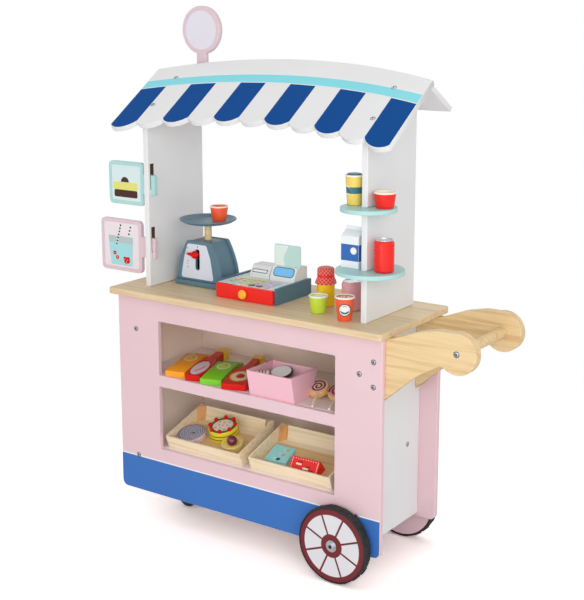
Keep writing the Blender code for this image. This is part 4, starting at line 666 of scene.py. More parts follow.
def build_roof():
    """Arched board with a scalloped edge, its bands and stripes as paint films, and four screws."""
    u = np.linspace(-ROOF_HALF, ROOF_HALF, 97)
    top = np.stack([u, arch(u)], 1)
    t = np.linspace(0.0, 1.0, 17)
    start = ROOF_HALF - LOBE_W * np.arange(LOBES)
    low_u = start[:, None] - LOBE_W * t[None]
    low_v = arch(np.clip(low_u, -ROOF_HALF, ROOF_HALF)) - ROOF_LENGTH + LOBE_DEPTH - lobe_drop(t)[None]
    low = np.stack([low_u, low_v], -1)
    low = np.concatenate([low[0], low[1:, 1:].reshape(-1, 2)])
    piece("canopy_front_board", "satin_white_lacquer", board(np.concatenate([top, low]), ROOF_T, on_roof, ease=0.0006),
          node="front_roof_board")
    share = np.linspace(0.0, 1.0, 9)
    margin = 0.0012
    u = np.linspace(-ROOF_HALF + margin, ROOF_HALF - margin, 97)[:, None]
    piece("canopy_cyan_band", "print_cyan", patch(crossed(u, band_top(u) - 0.0215 * share), on_roof))
    stripes = []
    for lobe in range(0, LOBES, 2):
        left = -ROOF_HALF + LOBE_W * lobe + (margin if lobe == 0 else 0.0)
        right = -ROOF_HALF + LOBE_W * (lobe + 1) - (margin if lobe == LOBES - 1 else 0.0)
        t = np.linspace(0.0, 1.0, 25)[:, None]
        u = left + (right - left) * t
        high = band_top(u) - 0.0238
        low = arch(u) - ROOF_LENGTH + LOBE_DEPTH + 0.0013 - lobe_drop(t)
        stripes.append(patch(crossed(u, high + (low - high) * share), on_roof))
    piece("canopy_blue_stripes", "print_blue", *stripes)
    for number, (x, v) in enumerate(((-0.240, -0.0238), (-0.240, -0.1057), (0.237, -0.0238), (0.237, -0.1057))):
        screw("canopy_screw_%d" % number, moved(on_roof, x, v))


def build_signs():
    """Prints on the round sign and on the two hanging signs, and the linings of their slots."""
    piece("round_sign_face", "pale_lavender_print",
          film(disc(-0.2214, 0.933, 0.0372, 96), facing(ROUND_SIGN_Y + SIGN_RECESS)))
    face = facing(HANGING_SIGN_Y + SIGN_RECESS)
    dome = np.concatenate([arc(-0.3008, 0.6495, 0.0100, 0.0, math.pi, 20), [(-0.3108, 0.6495), (-0.2908, 0.6495)]])
    prints(face, [
        ("mint_sign_face", "pale_mint_lacquer", FILM, box_outline(-0.3338, -0.2612, 0.6142, 0.6818, 0.0044)),
        ("mint_sign_icon_base", "print_dark_brown", 2.0 * FILM, box_outline(-0.3280, -0.2697, 0.6205, 0.6345, 0.003)),
        ("mint_sign_icon_layer", "print_pale_lime", 2.0 * FILM, box_outline(-0.3315, -0.2690, 0.6345, 0.6495, 0.004)),
        ("mint_sign_icon_dome", "print_dark_brown", 2.0 * FILM, dome)], "mint_sign_body")
    glass = rounded([(-0.3405, 0.4870, 0.003), (-0.2874, 0.4870, 0.003), (-0.2832, 0.5435, 0.001),
                     (-0.3470, 0.5435, 0.001)])
    drink = rounded([(-0.3395, 0.4880, 0.0025), (-0.2884, 0.4880, 0.0025), (-0.2848, 0.5305, 0.0008),
                     (-0.3450, 0.5305, 0.0008)])
    straws, dots = [], []
    for (u0, v0), (u1, v1), count in (((-0.3265, 0.5250), (-0.3138, 0.5678), 7),
                                      ((-0.2948, 0.5460), (-0.2884, 0.5665), 3)):
        lean = unit(np.array([v0 - v1, u1 - u0])) * 0.0021
        straws.append(np.array([(u0, v0), (u0, v0), (u1, v1), (u1, v1)]) + np.outer([1, -1, -1, 1], lean))
        share = (np.arange(count) + 0.5) / count
        dots += [disc(u0 + (u1 - u0) * t, v0 + (v1 - v0) * t, 0.0021, 20) for t in share]
    berry = rounded([(-0.3110, 0.5060, 0.003), (-0.3020, 0.5035, 0.002), (-0.2935, 0.5052, 0.003),
                     (-0.2925, 0.4925, 0.004), (-0.3060, 0.4905, 0.004)])
    slices = ((-0.3313, 0.5097), (-0.3247, 0.5015))
    seeds = slices + ((-0.3060, 0.4995), (-0.2985, 0.4985), (-0.3020, 0.4945))
    prints(face, [
        ("pink_sign_face", "pale_rose_lacquer", FILM, box_outline(-0.3578, -0.2692, 0.4832, 0.5698, 0.0044)),
        ("pink_sign_icon_glass", "print_glass_grey", 2.0 * FILM, glass),
        ("pink_sign_icon_drink", "print_pale_cyan", 3.0 * FILM, drink),
        ("pink_sign_icon_straws", "print_white", 0.00042, *straws),
        ("pink_sign_icon_straw_dots", "print_black", 0.00052, *dots),
        ("pink_sign_icon_fruit", "deep_red_gloss_paint", 4.0 * FILM, *[disc(u, v, 0.0040) for u, v in slices], berry),
        ("pink_sign_icon_seeds", "print_cream", 0.00056, *[disc(u, v, 0.0009, 12) for u, v in seeds])],
        "pink_sign_body")
    for name, low, high in (("upper", 0.6417, 0.689), ("lower", 0.5207, 0.569)):
        outer, inner = [box_outline(-0.0648 + gap, -0.0557 - gap, low + gap, high - gap, radius)
                        for gap, radius in ((0.00001, 0.0002), (FILM, 0.0001))]
        piece("post_slot_lining_" + name, "raw_board_edge",
              board(outer, 0.011, sideways(-0.246), ease=0.00002, holes=[inner], steps=1))


def build_panel_prints():
    """Blue foot band and thin white line on the front panel, its screws, and pale warm films on the cabinet's inner
    back and left walls that paint in warm bounced light.
    """
    face = facing(PANEL_FACE_Y)
    edge = PANEL_HALF - 0.0008
    band = rounded([(-edge, 0.0568, 0.0114), (edge, 0.0568, 0.0114), (edge, 0.1235, 0.0), (-edge, 0.1235, 0.0)])
    piece("front_panel_foot_band", "print_band_blue", film(band, face, rings=3))
    piece("front_panel_white_line", "print_white", film(box_outline(-edge, edge, 0.1240, 0.1262, 0.0002), face))
    spots = ((-0.2484, 0.3782), (0.2482, 0.3767), (0.2758, 0.4016), (0.2759, 0.3583), (-0.2492, 0.1270),
             (0.2455, 0.1234))
    for number, (x, z) in enumerate(spots):
        screw("front_panel_screw_%d" % number, moved(face, x, z), 0.0038)
    for number, (x, way) in enumerate(((0.2566, -1.0), (-0.2566, 1.0))):
        screw("side_panel_screw_%d" % number,
              lambda u, v, w, x=x, way=way: lay(x + way * w, 0.0535 - way * u, 0.2084 + v))
    # Pale warm films on the inner back and left walls: painted bounce light that lifts the shade inside the cabinet.
    for name, low, high in (("upper", 0.2964, 0.4433), ("lower", 0.0645, 0.2846)):
        piece("back_painted_bounce_" + name, "warm_lining_lacquer",
              film(box_outline(-0.2454, 0.2454, low, high, 0.0002), facing(0.0955)))
        piece("left_painted_bounce_" + name, "warm_lining_lacquer",
              film(box_outline(-0.0890, 0.0950, low, high, 0.0002), lambda u, v, w: lay(-0.2456 - w, u, v)))


# ---- shelves, handle and wheels

def build_round_shelves():
    """Two round shelves slit from behind where they cross the post."""
    for name, node, radius, y, top, slit in (
            ("lower_shelf_disc", "lower_round_shelf", 0.059, -0.051, 0.546, -0.032),
            ("upper_shelf_disc", "upper_round_shelf", 0.048, -0.058, 0.653, -0.041)):
        lean = math.asin(POST_SLIT_HALF / radius)
        rim = arc(POST_X, y, radius, math.pi / 2.0 + lean, 2.5 * math.pi - lean, 128)
        outline = np.concatenate([rim, [(POST_X + POST_SLIT_HALF, slit), (POST_X - POST_SLIT_HALF, slit)]])
        piece(name, "satin_mint_lacquer", board(outline, ROUND_SHELF_T, lying(top - ROUND_SHELF_T)), node=node)


def build_handle():
    """Two arms with well-rounded edges, the rod between them, and its end screws."""
    knuckle = arc(GRIP_X, GRIP_Z, 0.035, math.radians(106.0), math.radians(-131.0), 40)
    outline = rounded([(0.2569, 0.307, 0.0), (0.2569, 0.4434, 0.0), (0.303, 0.4434, 0.020), (0.352, 0.4625, 0.060),
                       (0.388, 0.470, 0.020), *np.pad(knuckle, ((0, 0), (0, 1))), (0.391, 0.411, 0.0),
                       (0.349, 0.387, 0.060)], 14)
    for end, y in (("front", -0.0892), ("back", 0.0772)):
        piece("handle_arm_" + end, "handle_pine", board(outline, 0.018, facing(y), ease=0.0012, steps=5),
              node=end + "_handle_arm")
    solid("handle_grip_rod", "handle_pine",
          [(0.0095, 0.0, 0.0004), (0.0095, 0.1478, 0.0004)],
          across(GRIP_X, -0.0709, GRIP_Z), 3, 48, node="handle_rod")
    for end, y, way in (("front", -0.0892, 1.0), ("back", 0.0952, -1.0)):
        screw("handle_screw_" + end, across(GRIP_X, y, GRIP_Z, way), 0.0042)


def tyre(y, way):
    """Tyre as a grid of radius over angle and width. The running face is two rows of blocks, half a pitch apart:
    the radius is the base plus 2.2 mm times a 0 to 1 block profile with short ramps."""
    pitches = 14
    part = np.array([0.0, 0.025, 0.14, 0.25, 0.36, 0.475, 0.5, 0.525, 0.64, 0.75, 0.86, 0.975])
    turn = (np.arange(pitches)[:, None] + part[None]).ravel() / pitches
    blocks, offset = [np.interp((np.tile(part, pitches) + late) % 1.0, [0.0, 0.025, 0.475, 0.5, 1.0],
                                [0.0, 1.0, 1.0, 0.0, 0.0]) for late in (0.0, 0.5)]
    rows = [(0.0657, 0.0, 0), (0.0667, 0.0, 0), (0.0671, 0.01, 0), (0.0676, 0.045, 0), (0.0682, 0.10, 1),
            (0.0688, 0.125, 1), (0.0690, 0.16, 1), (0.0690, 0.44, 1), (0.0688, 0.465, 1), (0.0676, 0.485, 0),
            (0.0676, 0.515, 0), (0.0688, 0.535, 2), (0.0690, 0.56, 2), (0.0690, 0.84, 2), (0.0688, 0.875, 2),
            (0.0682, 0.90, 2), (0.0676, 0.955, 0), (0.0671, 0.99, 0), (0.0667, 1.0, 0), (0.0657, 1.0, 0)]
    radius, along, kind = np.array(rows).T[:, :, None]
    share = np.where(kind == 1, blocks[None], np.where(kind == 2, offset[None], 0.0))
    base = np.minimum(radius, 0.0676)
    reach = base + (radius - base) * share
    angle = 2.0 * math.pi * turn[None]
    points = lay(WHEEL_X + reach * np.cos(angle), y + way * along * TYRE_WIDTH + 0.0 * angle,
                 WHEEL_Z + reach * np.sin(angle))
    return grid(points, wrap_rows=True, wrap_cols=True)


def build_wheels():
    """Treaded tyres on wooden discs, the printed spokes of the discs, and the axle's heads."""
    for name, y, way, seat in (("front", FRONT_WHEEL_Y, 1.0, -0.100), ("back", BACK_WHEEL_Y, -1.0, 0.106)):
        body = name + "_wheel_body"
        boss = abs(seat - y) - GAP
        profile = rounded([(0.0043, 0.0, 0.0002), (DISC_R, 0.0, 0.0014), (DISC_R, DISC_T, 0.0014),
                           (0.011, DISC_T, 0.0006), (0.011, boss, 0.0008), (0.0043, boss, 0.0002)], 4)
        place = across(WHEEL_X, y, WHEEL_Z, way)
        piece(name + "_wheel_disc", "print_wheel_red", turned(profile, place, 128, True), body=body,
              node=name + "_wheel")
        piece(name + "_wheel_tyre", "black_rubber", tyre(y - way * 0.0005, way), body=body, node=name + "_tyre",
              sharp=24.0)
        share = np.linspace(0.0, 1.0, 13)[:, None]
        radius = np.linspace(0.0212, 0.0555, 9)[None]
        lean = np.arcsin(0.0018 / radius)
        sectors = []
        for number in range(8):
            angle = math.radians(21.0 + 45.0 * number) + lean + (math.pi / 4.0 - 2.0 * lean) * share
            sectors.append(patch(polar(radius, angle), place))
        piece(name + "_wheel_sectors", "print_wheel_pale", *sectors, body=body)
        piece(name + "_wheel_inner_face", "satin_pink_lacquer",
              board(disc(0.0, 0.0, 0.0638, 96), 2.0 * FILM, top_of(place, DISC_T + FILM), 0.00002,
                    [disc(0.0, 0.0, 0.0125, 48)], 1), body=body)
    near = [(0.0075, 0.0, 0.0009), (0.0075, 0.003, 0.0002), (0.0105, 0.003, 0.0003),
            (0.0105, 0.0042, 0.0003), (0.004, 0.0042, 0.0)]
    far = [(r, AXLE_BACK_Y - AXLE_FRONT_Y - h, c) for r, h, c in reversed(near)]
    solid("axle_bar", "zinc_steel", near + far, across(WHEEL_X, AXLE_FRONT_Y, WHEEL_Z), 4, 48, node="axle")
    # Black hexagons on the axle's end faces paint the shade inside their hex sockets.
    for number, (y, way) in enumerate(((AXLE_FRONT_Y, 1.0), (AXLE_BACK_Y, -1.0))):
        piece("axle_socket_%d" % number, "print_black",
              film(disc(0.0, 0.0, 0.0036, 6), across(WHEEL_X, y, WHEEL_Z, way)))


# ---- toy scale

def scale_side():
    """The scale's flared side: half width 54 mm at the foot, 45.5 at the waist, 28.5 at the shoulder,
    as a straight line plus a parabola that is zero at both ends."""
    t = np.linspace(0.0, 1.0, 29)
    waist = (0.507 - SCALE_FOOT) / (SCALE_TOP - SCALE_FOOT)
    bulge = (0.0455 - 0.054 + 0.0255 * waist) * t * (1.0 - t) / (waist * (1.0 - waist))
    return np.stack([0.054 - 0.0255 * t + bulge, SCALE_FOOT + (SCALE_TOP - SCALE_FOOT) * t], 1)


def build_scale():
    """Plates, dial print, pointer, dish with its dowel and spring."""
    side = scale_side()
    flare = np.pad(side[side[:, 1] < 0.5345], ((0, 0), (0, 1)))
    outline = rounded(both_sides([*flare, (side[-1, 0], SCALE_TOP, 0.006)]) + (SCALE_X, 0.0, 0.0), 8)
    slot, wide = [np.concatenate([arc(SCALE_SLOT_X, 0.5215, half, 0.0, math.pi, 14),
                                  arc(SCALE_SLOT_X, 0.4910, half, math.pi, 2.0 * math.pi, 14)])
                  for half in (0.0045, 0.0052)]
    front = facing(SCALE_FACE_Y)
    piece("scale_front", "blue_grey_lacquer", board(outline, 0.006, front, 0.0006, [slot]),
          node="scale_front_plate")
    piece("scale_back", "blue_grey_lacquer", board(outline, 0.006, facing(0.036), 0.0006), node="scale_back_plate")
    dial = rounded([(-0.2070, 0.4690, 0.004), (-0.1284, 0.4690, 0.004), (-0.1358, 0.5103, 0.02),
                    (-0.1452, 0.5357, 0.004), (-0.1903, 0.5357, 0.004), (-0.1992, 0.5081, 0.02)])
    piece("scale_dial_print", "dial_lacquer",
          board(dial, FILM + 0.00005, facing(SCALE_FACE_Y - FILM), 0.00002, [wide], 1))
    ticks = [box_outline(-0.1925, -0.1925 + length, z, z + 0.0009, 0.0002)
             for z, length in ((0.5262, 0.0050), (0.5197, 0.0035), (0.5016, 0.0050), (0.4966, 0.0035),
                               (0.4897, 0.0050))]
    ticks.append(box_outline(-0.1670, -0.1660, 0.5285, 0.5335, 0.0002))
    prints(front, [("scale_dial_ticks", "print_slate", 0.0002, *ticks)])
    solid("scale_pointer_ball", "deep_red_gloss_paint",
          [(0.0, -0.0045, 0.0), (0.0046, -0.0042, 0.002), (0.0076, 0.0, 0.0030), (0.0076, 0.0042, 0.0008)],
          across(-0.1705, -0.0188, 0.516), 6, 48, body="pan_body")
    drop = rounded([(-0.1906, 0.5172, 0.0012), (-0.1902, 0.5150, 0.0012), (-0.1770, 0.5115, 0.004),
                    (-0.1640, 0.5095, 0.004), (-0.1640, 0.5225, 0.004), (-0.1770, 0.5205, 0.004)])
    piece("scale_pointer_drop", "deep_red_gloss_paint", board(drop, 0.0045, facing(-0.0188), 0.0010),
          body="pan_body", node="scale_pointer")
    pin = [(0.0, 0.0), (0.0025, 0.0), (0.0025, 0.0250), (0.0, 0.0250)]
    piece("scale_pointer_pin", "deep_red_gloss_paint", turned(pin, across(SCALE_SLOT_X, -0.0155, 0.516), 24),
          body="pan_body")
    solid("scale_dowel_bar", "handle_pine",
          [(0.007, 0.0, 0.0005), (0.007, 0.0737, 0.0005)],
          standing(*DOWEL_XY, 0.500), 3, 40, body="pan_body", node="scale_dowel")
    solid("scale_pan", "blue_grey_lacquer",
          [(0.0395, 0.0, 0.004), (0.0465, 0.0018, 0.004), (0.0540, 0.0062, 0.0015),
           (0.0540, 0.0090, 0.0006), (0.0516, 0.0090, 0.0008), (0.0465, 0.0059, 0.004), (0.0418, 0.0035, 0.003)],
          standing(SCALE_X, 0.015, 0.574), 5, 96, body="pan_body", node="scale_dish")
    turns = np.linspace(0.0, 5.0, 161)
    wire = 0.0009
    low, high = SCALE_FOOT + wire + 2 * GAP, 0.500 - GAP - wire
    coil = np.column_stack([polar(0.0075, 2.0 * math.pi * turns) + DOWEL_XY, low + (high - low) * turns / 5.0])
    spring = piece("scale_coil", "zinc_steel", sweep(coil, wire, 10), node="scale_spring")
    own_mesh(spring)


# ---- toy register

def build_register():
    """Drawer knob, key pad, printer slot, screen and card prints."""
    solid("drawer_pull", "yellow_gloss_paint",
          [(0.0064, 0.0, 0.0), (0.0070, 0.0018, 0.002), (0.0085, 0.0030, 0.0015), (0.0085, 0.0070, 0.0024)],
          across(-0.0205, -0.0633, 0.4693, -1.0), 5, 48,
          body="drawer_body", node="drawer_knob")
    top = top_of(lay, 0.4835)
    colours = ("print_key_cyan", "print_key_green", "print_key_sand", "can_pink_paint_film", "print_key_violet",
               "print_slate")
    chosen = np.array([[0, 0, 2, 5, 5, 3], [1, 2, 1, 3, 4, 4], [3, 1, 1, 2, 4, 4], [1, 2, 2, 1, 4, 0]])
    left = -0.0690 + 0.0166 * np.arange(6)
    low = -0.0520 + 0.0132 * np.arange(4)
    for number, finish in enumerate(colours):
        keys = [film(box_outline(left[k], left[k] + 0.0118, low[j], low[j] + 0.0078, 0.0016), top, high=0.0012)
                for j, k in np.argwhere(chosen == number)]
        piece("register_keys_%d" % number, finish, *keys, sharp=50.0)
    # Grey films under each key, reaching past it towards the front: painted shadows cast by the raised keys.
    key_shadows = [box_outline(x - 0.0002, x + 0.0120, y - 0.0014, y + 0.0078, 0.0016) for x in left for y in low]
    prints(top, [("register_key_painted_shadows", "print_key_grey", 0.0002, *key_shadows)])
    prints(on_slope(0.008, 0.4918, math.atan2(0.65, 0.5)), [
        ("printer_slot_print", "print_teal", FILM, box_outline(-0.0552, -0.0212, 0.0020, 0.0095, 0.0012)),
        ("printer_paper_print", "print_white", 2.0 * FILM, box_outline(-0.0535, -0.0229, 0.0035, 0.0080, 0.0008))])
    prints(on_slope(0.005, 0.4890, math.atan2(0.8, 0.45)), [
        ("screen_frame_print", "print_teal", FILM, box_outline(-0.0072, 0.0389, 0.0040, 0.0228, 0.0072)),
        ("screen_glass_print", "print_screen_blue", 2.0 * FILM, box_outline(-0.0054, 0.0371, 0.0056, 0.0212, 0.0060))])
    card = box_outline(-0.0135, 0.0445, 0.5033, 0.5495, 0.003)
    piece("display_card", "mint_card", board(card, 0.002, facing(0.023), 0.0003, steps=2), node="register_card")
    zone = rounded([(-0.0115, 0.5053, 0.001), (0.0120, 0.5053, 0.004), (0.0060, 0.5250, 0.010),
                    (0.0180, 0.5475, 0.001), (-0.0115, 0.5475, 0.002)])
    piece("display_card_zone", "pale_card_print", film(zone, facing(0.023)))


# ---- toys on the counter and the round shelves

def cup(name, node, finish, spot, foot_r, rim_r, height, lip_finish, drink_finish, body="cart_body"):
    """Tapered cup: the wall leans from foot to a rolled lip, the top is sunk 3.5 mm and shows its drink."""
    place = standing(*spot)
    wall_r, inner_r = rim_r - 0.0005, rim_r - 0.0030
    solid(name, finish,
          [(foot_r, 0.0, 0.0012), (wall_r, height - 0.003, 0.0), (wall_r, height - 0.0012, 0.0004),
           (inner_r, height - 0.0012, 0.0004), (rim_r - 0.0034, height - 0.0035, 0.0004)],
          place, 4, 56, body=body, node=node)
    lip = rounded([(inner_r, height - 0.0030, 0.0008), (rim_r, height - 0.0030, 0.0008), (rim_r, height, 0.0012),
                   (inner_r, height, 0.0012)], 4)
    piece(name + "_lip", lip_finish, turned(lip, place, 56, True), body=body)
    piece(name + "_drink", drink_finish, film(disc(0.0, 0.0, rim_r - 0.0036), top_of(place, height - 0.0035)),
          body=body)


def badge(name, place, u, v, radius, hub, middle, ring, squash=1.0):
    """Round printed badge: a ring and, at share hub of its size, a coloured middle."""
    prints(place, [(name + "_ring", ring, FILM, disc(u, v, radius, 48, squash)),
                   (name + "_middle", middle, 2.0 * FILM, disc(u, v, radius * hub, 48, squash))], rings=4)


def can(name, node, finish, spot, radius, height):
    """Drink can: straight wall, necked ends, a bright seam ring and a sunk end at the top."""
    neck = radius * 0.14
    profile = rounded([(0.0, 0.0012, 0.0), (radius - 2.0 * neck, 0.0012, 0.0006), (radius - 1.5 * neck, 0.0, 0.0004),
                       (radius - neck, 0.0, 0.0005), (radius, neck, 0.002), (radius, height - 2.0 * neck, 0.003),
                       (radius - neck, height - neck * 0.6, 0.001), (radius - neck, height - 0.0012, 0.0)], 4,
                      False)
    place = standing(*spot)
    piece(name, finish, turned(np.concatenate([profile, [(0.0, height - 0.0012)]]), place, 56), node=node)
    inner, outer = radius - 1.75 * neck, radius - 0.8 * neck
    seam = rounded([(inner, height - 0.0018, 0.0004), (outer, height - 0.0018, 0.0006), (outer, height, 0.0006),
                    (inner, height, 0.0004)], 3)
    piece(name + "_seam", "can_end_metal", turned(seam, place, 56, True))
    piece(name + "_end", "can_end_metal", film(disc(0.0, 0.0, radius - 1.7 * neck), top_of(place, height - 0.0012)))


def build_standing_toys():
    """Cups, cans, the flared bottle and the milk carton."""
    cup("tumbler_on_pan", "scale_cup", "orange_gloss_paint", (-0.136, 0.015, 0.5778), 0.0125, 0.0175, 0.032,
        "print_cream", "red_gloss_paint", "pan_body")
    cup("lime_tumbler", "lime_cup", "lime_gloss_paint", (0.1335, -0.0515, COUNTER_TOP), 0.0133, 0.0170, 0.031,
        "print_white", "print_cream")
    spot = (0.200, -0.071, COUNTER_TOP)
    cup("orange_tumbler", "orange_cup", "orange_gloss_paint", spot, 0.0122, 0.0175, 0.042, "print_white",
        "print_cream")
    piece("orange_tumbler_crumbs", "print_dark_brown",
          *dots(top_of(standing(*spot), 0.042 - 0.0035 + FILM), 0.0015, 14,
                ((0.001, 0.5), (0.0052, 0.2), (0.0055, 1.5), (0.005, 2.9), (0.0056, 4.2), (0.0052, 5.4),
                 (0.0103, 0.8), (0.0106, 1.9), (0.0104, 3.1), (0.0107, 4.5), (0.0104, 5.8))))
    cup("red_tumbler", "red_cup", "red_gloss_paint", (0.266, -0.054, UPPER_ROUND_TOP), 0.0152, 0.0190, 0.027,
        "print_cream", "print_cream")
    inner = [(0.0152, 0.0236), (0.01575, 0.0236), (0.01575, 0.0262), (0.0152, 0.0262)]
    piece("red_tumbler_inner_wall", "print_cream", turned(inner, standing(0.266, -0.054, UPPER_ROUND_TOP), 56, True))
    wall = round_wall(*spot, 0.0122, 0.0175, 0.042, -1.0)
    badge("orange_tumbler_badge", wall, 0.0, 0.0205, 0.0112, 0.86, "print_white", "print_slate")
    for number, (finish, start, end) in enumerate((("print_teal", 3.3, 6.12), ("print_slate", 0.9, 2.24))):
        part = arc(0.0, 0.0205, 0.0084, start, end, 20) * (1.0, 0.86) + (0.0, 0.0205 * 0.14)
        piece("orange_tumbler_badge_part_%d" % number, finish, film(part, wall, high=0.0004, rings=3))
    can("pink_drink_can", "pink_can", "can_pink_paint_film", (0.171, -0.002, COUNTER_TOP), 0.018, 0.052)
    can("red_drink_can", "red_can", "red_gloss_paint", (0.268, -0.0575, LOWER_ROUND_TOP), 0.017, 0.055)
    spot = (0.208, -0.056, UPPER_ROUND_TOP)
    cup("yellow_paper_cup", "yellow_can", "print_paper_yellow", spot, 0.0122, 0.0158, 0.051, "print_white",
        "print_teal")
    solid("yellow_paper_cup_lid", "print_teal",
          [(0.0124, 0.048, 0.0004), (0.0120, 0.053, 0.0008)],
          standing(*spot), 4, 48)
    wall = round_wall(*spot, 0.0122, 0.0153, 0.048, -2.0)
    piece("yellow_paper_cup_band", "print_teal",
          patch(crossed(math.pi * 0.01421 * np.linspace(-1.0, 1.0, 97)[:, None], np.linspace(0.020, 0.031, 3)), wall))
    badge("yellow_paper_cup_badge", wall, 0.0, 0.0255, 0.0082, 0.62, "print_teal", "print_cream")
    place = standing(*FLASK_XY, COUNTER_TOP)
    solid("yellow_flask", "lemon_gloss_paint",
          [(0.0158, 0.0, 0.002), (0.0158, 0.038, 0.004), (0.0140, 0.044, 0.002), (0.0140, 0.050, 0.0)], place, 5, 56,
          node="yellow_bottle")
    skirt = rounded([(0.0160, 0.0405, 0.0003), (0.0195, 0.0405, 0.0005), (0.0180, 0.0460, 0.004),
                     (0.0150, 0.0530, 0.0), (0.0135, 0.0530, 0.0)], 4)
    crown = rounded([(0.0146, 0.0565, 0.0), (0.0157, 0.0590, 0.003), (0.0150, 0.0680, 0.003),
                     (0.0100, 0.0700, 0.002), (0.0, 0.0700, 0.0)], 5, False)
    piece("yellow_flask_cover", "red_checked_cotton", turned(skirt, place, 72, True),
          turned(np.concatenate([[(0.0, 0.0500)], crown]), place, 72))
    ribbon = rounded([(0.0135, 0.0525, 0.0), (0.0155, 0.0525, 0.0008), (0.0155, 0.0572, 0.0008),
                      (0.0135, 0.0572, 0.0)], 4)
    piece("yellow_flask_ribbon", "red_gloss_paint", turned(ribbon, place, 56, True))
    left, right, middle, low = 0.1885, 0.2235, -0.0485, LOWER_ROUND_TOP
    rings = [lay(np.array([left, right, right, left]), middle + half * np.array([-1.0, -1.0, 1.0, 1.0]), low + height)
             for height, half in ((0.0, 0.0171), (0.0004, 0.0175), (0.054, 0.0175), (0.0548, 0.0170),
                                  (0.0638, 0.00105), (0.0643, 0.00105), (0.069, 0.00105))]
    piece("gable_milk_carton", "carton_white_paint_film", loft(rings), node="milk_carton")
    front = facing(middle - 0.0175)
    piece("milk_carton_label", "print_milk_blue",
          film(box_outline(left + 0.0003, right - 0.0003, low + 0.0124, low + 0.0405, 0.0002), front))
    badge("milk_carton_badge", over(front), right - 0.0100, low + 0.0300, 0.0062, 0.8, "print_white",
          "print_label_lilac")
    piece("milk_carton_side_label", "print_milk_blue",
          film(box_outline(middle - 0.0172, middle + 0.0172, low + 0.0124, low + 0.0405, 0.0002),
               lambda u, v, w: lay(right - w, u, v)))


# ---- toys lying on the middle shelf

def lying_carton(name, node, finish, x, turn, width, length):
    """Flat carton: full thickness for 72% of its length, sloping to a thin pinched end. Returns its upper face."""
    place = lying(SHELF_TOP, x, -0.093, math.radians(turn), 0.6)
    rings = []
    for along, narrow, thick in ((0.0, 0.0006, 0.0184), (0.0006, 0.0, 0.019), (length * 0.72, 0.0, 0.019),
                                 (length * 0.73, 0.0001, 0.0185), (length * 0.88, 0.002, 0.0105),
                                 (length * 0.885, 0.002, 0.0104), (length, 0.002, 0.0104)):
        half = width / 2.0 - narrow
        edge = rounded([(-half, 0.0, 0.0010), (half, 0.0, 0.0010), (half, thick, 0.0012), (-half, thick, 0.0012)], 4)
        rings.append(place(edge[:, 0], along, edge[:, 1]))
    piece(name, finish, loft(rings), node=node)
    return top_of(place, 0.019)


def lying_bottle(name, node, x, turn, foot, belly, neck, length):
    """Flat wooden sauce bottle: a swelling body and a cap as boards with soft edges. Returns its upper face."""
    place = lying(SHELF_TOP, x, -0.094, math.radians(turn), 0.6)
    start = length - 0.026
    outline = rounded(both_sides([(foot, 0.0, 0.004), (belly, length * 0.18, 0.03), (belly * 0.9, length * 0.40, 0.03),
                                  (neck, length * 0.60, 0.015), (neck, start, 0.0)]), 9)
    piece(name, "deep_red_gloss_paint", board(outline, 0.019, place, 0.0030, steps=5), node=node)
    cap = neck + 0.002
    outline = rounded([(-cap, start, 0.0016), (cap, start, 0.0016), (cap, length, 0.004), (-cap, length, 0.004)], 6)
    piece(name + "_cap", "lemon_gloss_paint", board(outline, 0.019, place, 0.0022, steps=5))
    cuff = box_outline(-cap, cap, start - 0.003, start, 0.001)
    piece(name + "_cuff", "yellow_gloss_paint", board(cuff, 0.0194, place, 0.0010))
    return top_of(place, 0.019)


def build_lying_toys():
    """Two cartons and two bottles with their printed badges."""
    for name, x, turn, width, length, v, radius, hub, leaf_v, middle, ring in (
            ("orange", -0.1605, 14.0, 0.040, 0.128, 0.070, 0.0128, 0.72, 0.076, "yellow_gloss_paint",
             "print_ring_gold"),
            ("green", -0.0755, 16.5, 0.042, 0.122, 0.066, 0.0130, 0.8, 0.073, "lime_gloss_paint",
             "print_ring_green")):
        top = lying_carton(name + "_juice_carton", name + "_carton", "carton_%s_paint_film" % name, x, turn, width,
                           length)
        badge(name + "_juice_badge", top, 0.0, v, radius, hub, middle, ring, 1.2)
        prints(top, [(name + "_juice_leaf", "print_dark_green", 3.0 * FILM, disc(0.003, leaf_v, 0.0028, 24, 0.6))])
    top = lying_bottle("slim_sauce_bottle", "left_red_bottle", -0.1180, 16.3, 0.0150, 0.0195, 0.0085, 0.165)
    piece("slim_sauce_label", "print_label_lilac", film(disc(0.0, 0.0385, 0.0142, 64, 2.3), top, rings=6))
    dash = rounded([(-0.0046, 0.0215, 0.0006), (-0.0026, 0.0200, 0.0006), (0.0040, 0.0330, 0.008),
                    (0.0086, 0.0490, 0.0006), (0.0070, 0.0500, 0.0004), (0.0015, 0.0345, 0.008)])
    prints(top, [("slim_sauce_dash", "deep_red_gloss_paint", 2.0 * FILM, dash)])
    top = lying_bottle("wide_sauce_bottle", "right_red_bottle", -0.0215, 20.0, 0.0245, 0.0255, 0.0080, 0.170)
    badge("wide_sauce_badge", top, 0.0, 0.040, 0.0188, 0.82, "print_label_sand", "yellow_gloss_paint", 1.3)
    prints(top, [("wide_sauce_dot", "deep_red_gloss_paint", 3.0 * FILM, disc(0.001, 0.040, 0.0082, 48, 1.2)),
                 ("wide_sauce_leaf", "print_slate", 3.2 * FILM, disc(-0.001, 0.0495, 0.0040, 24, 0.5))])


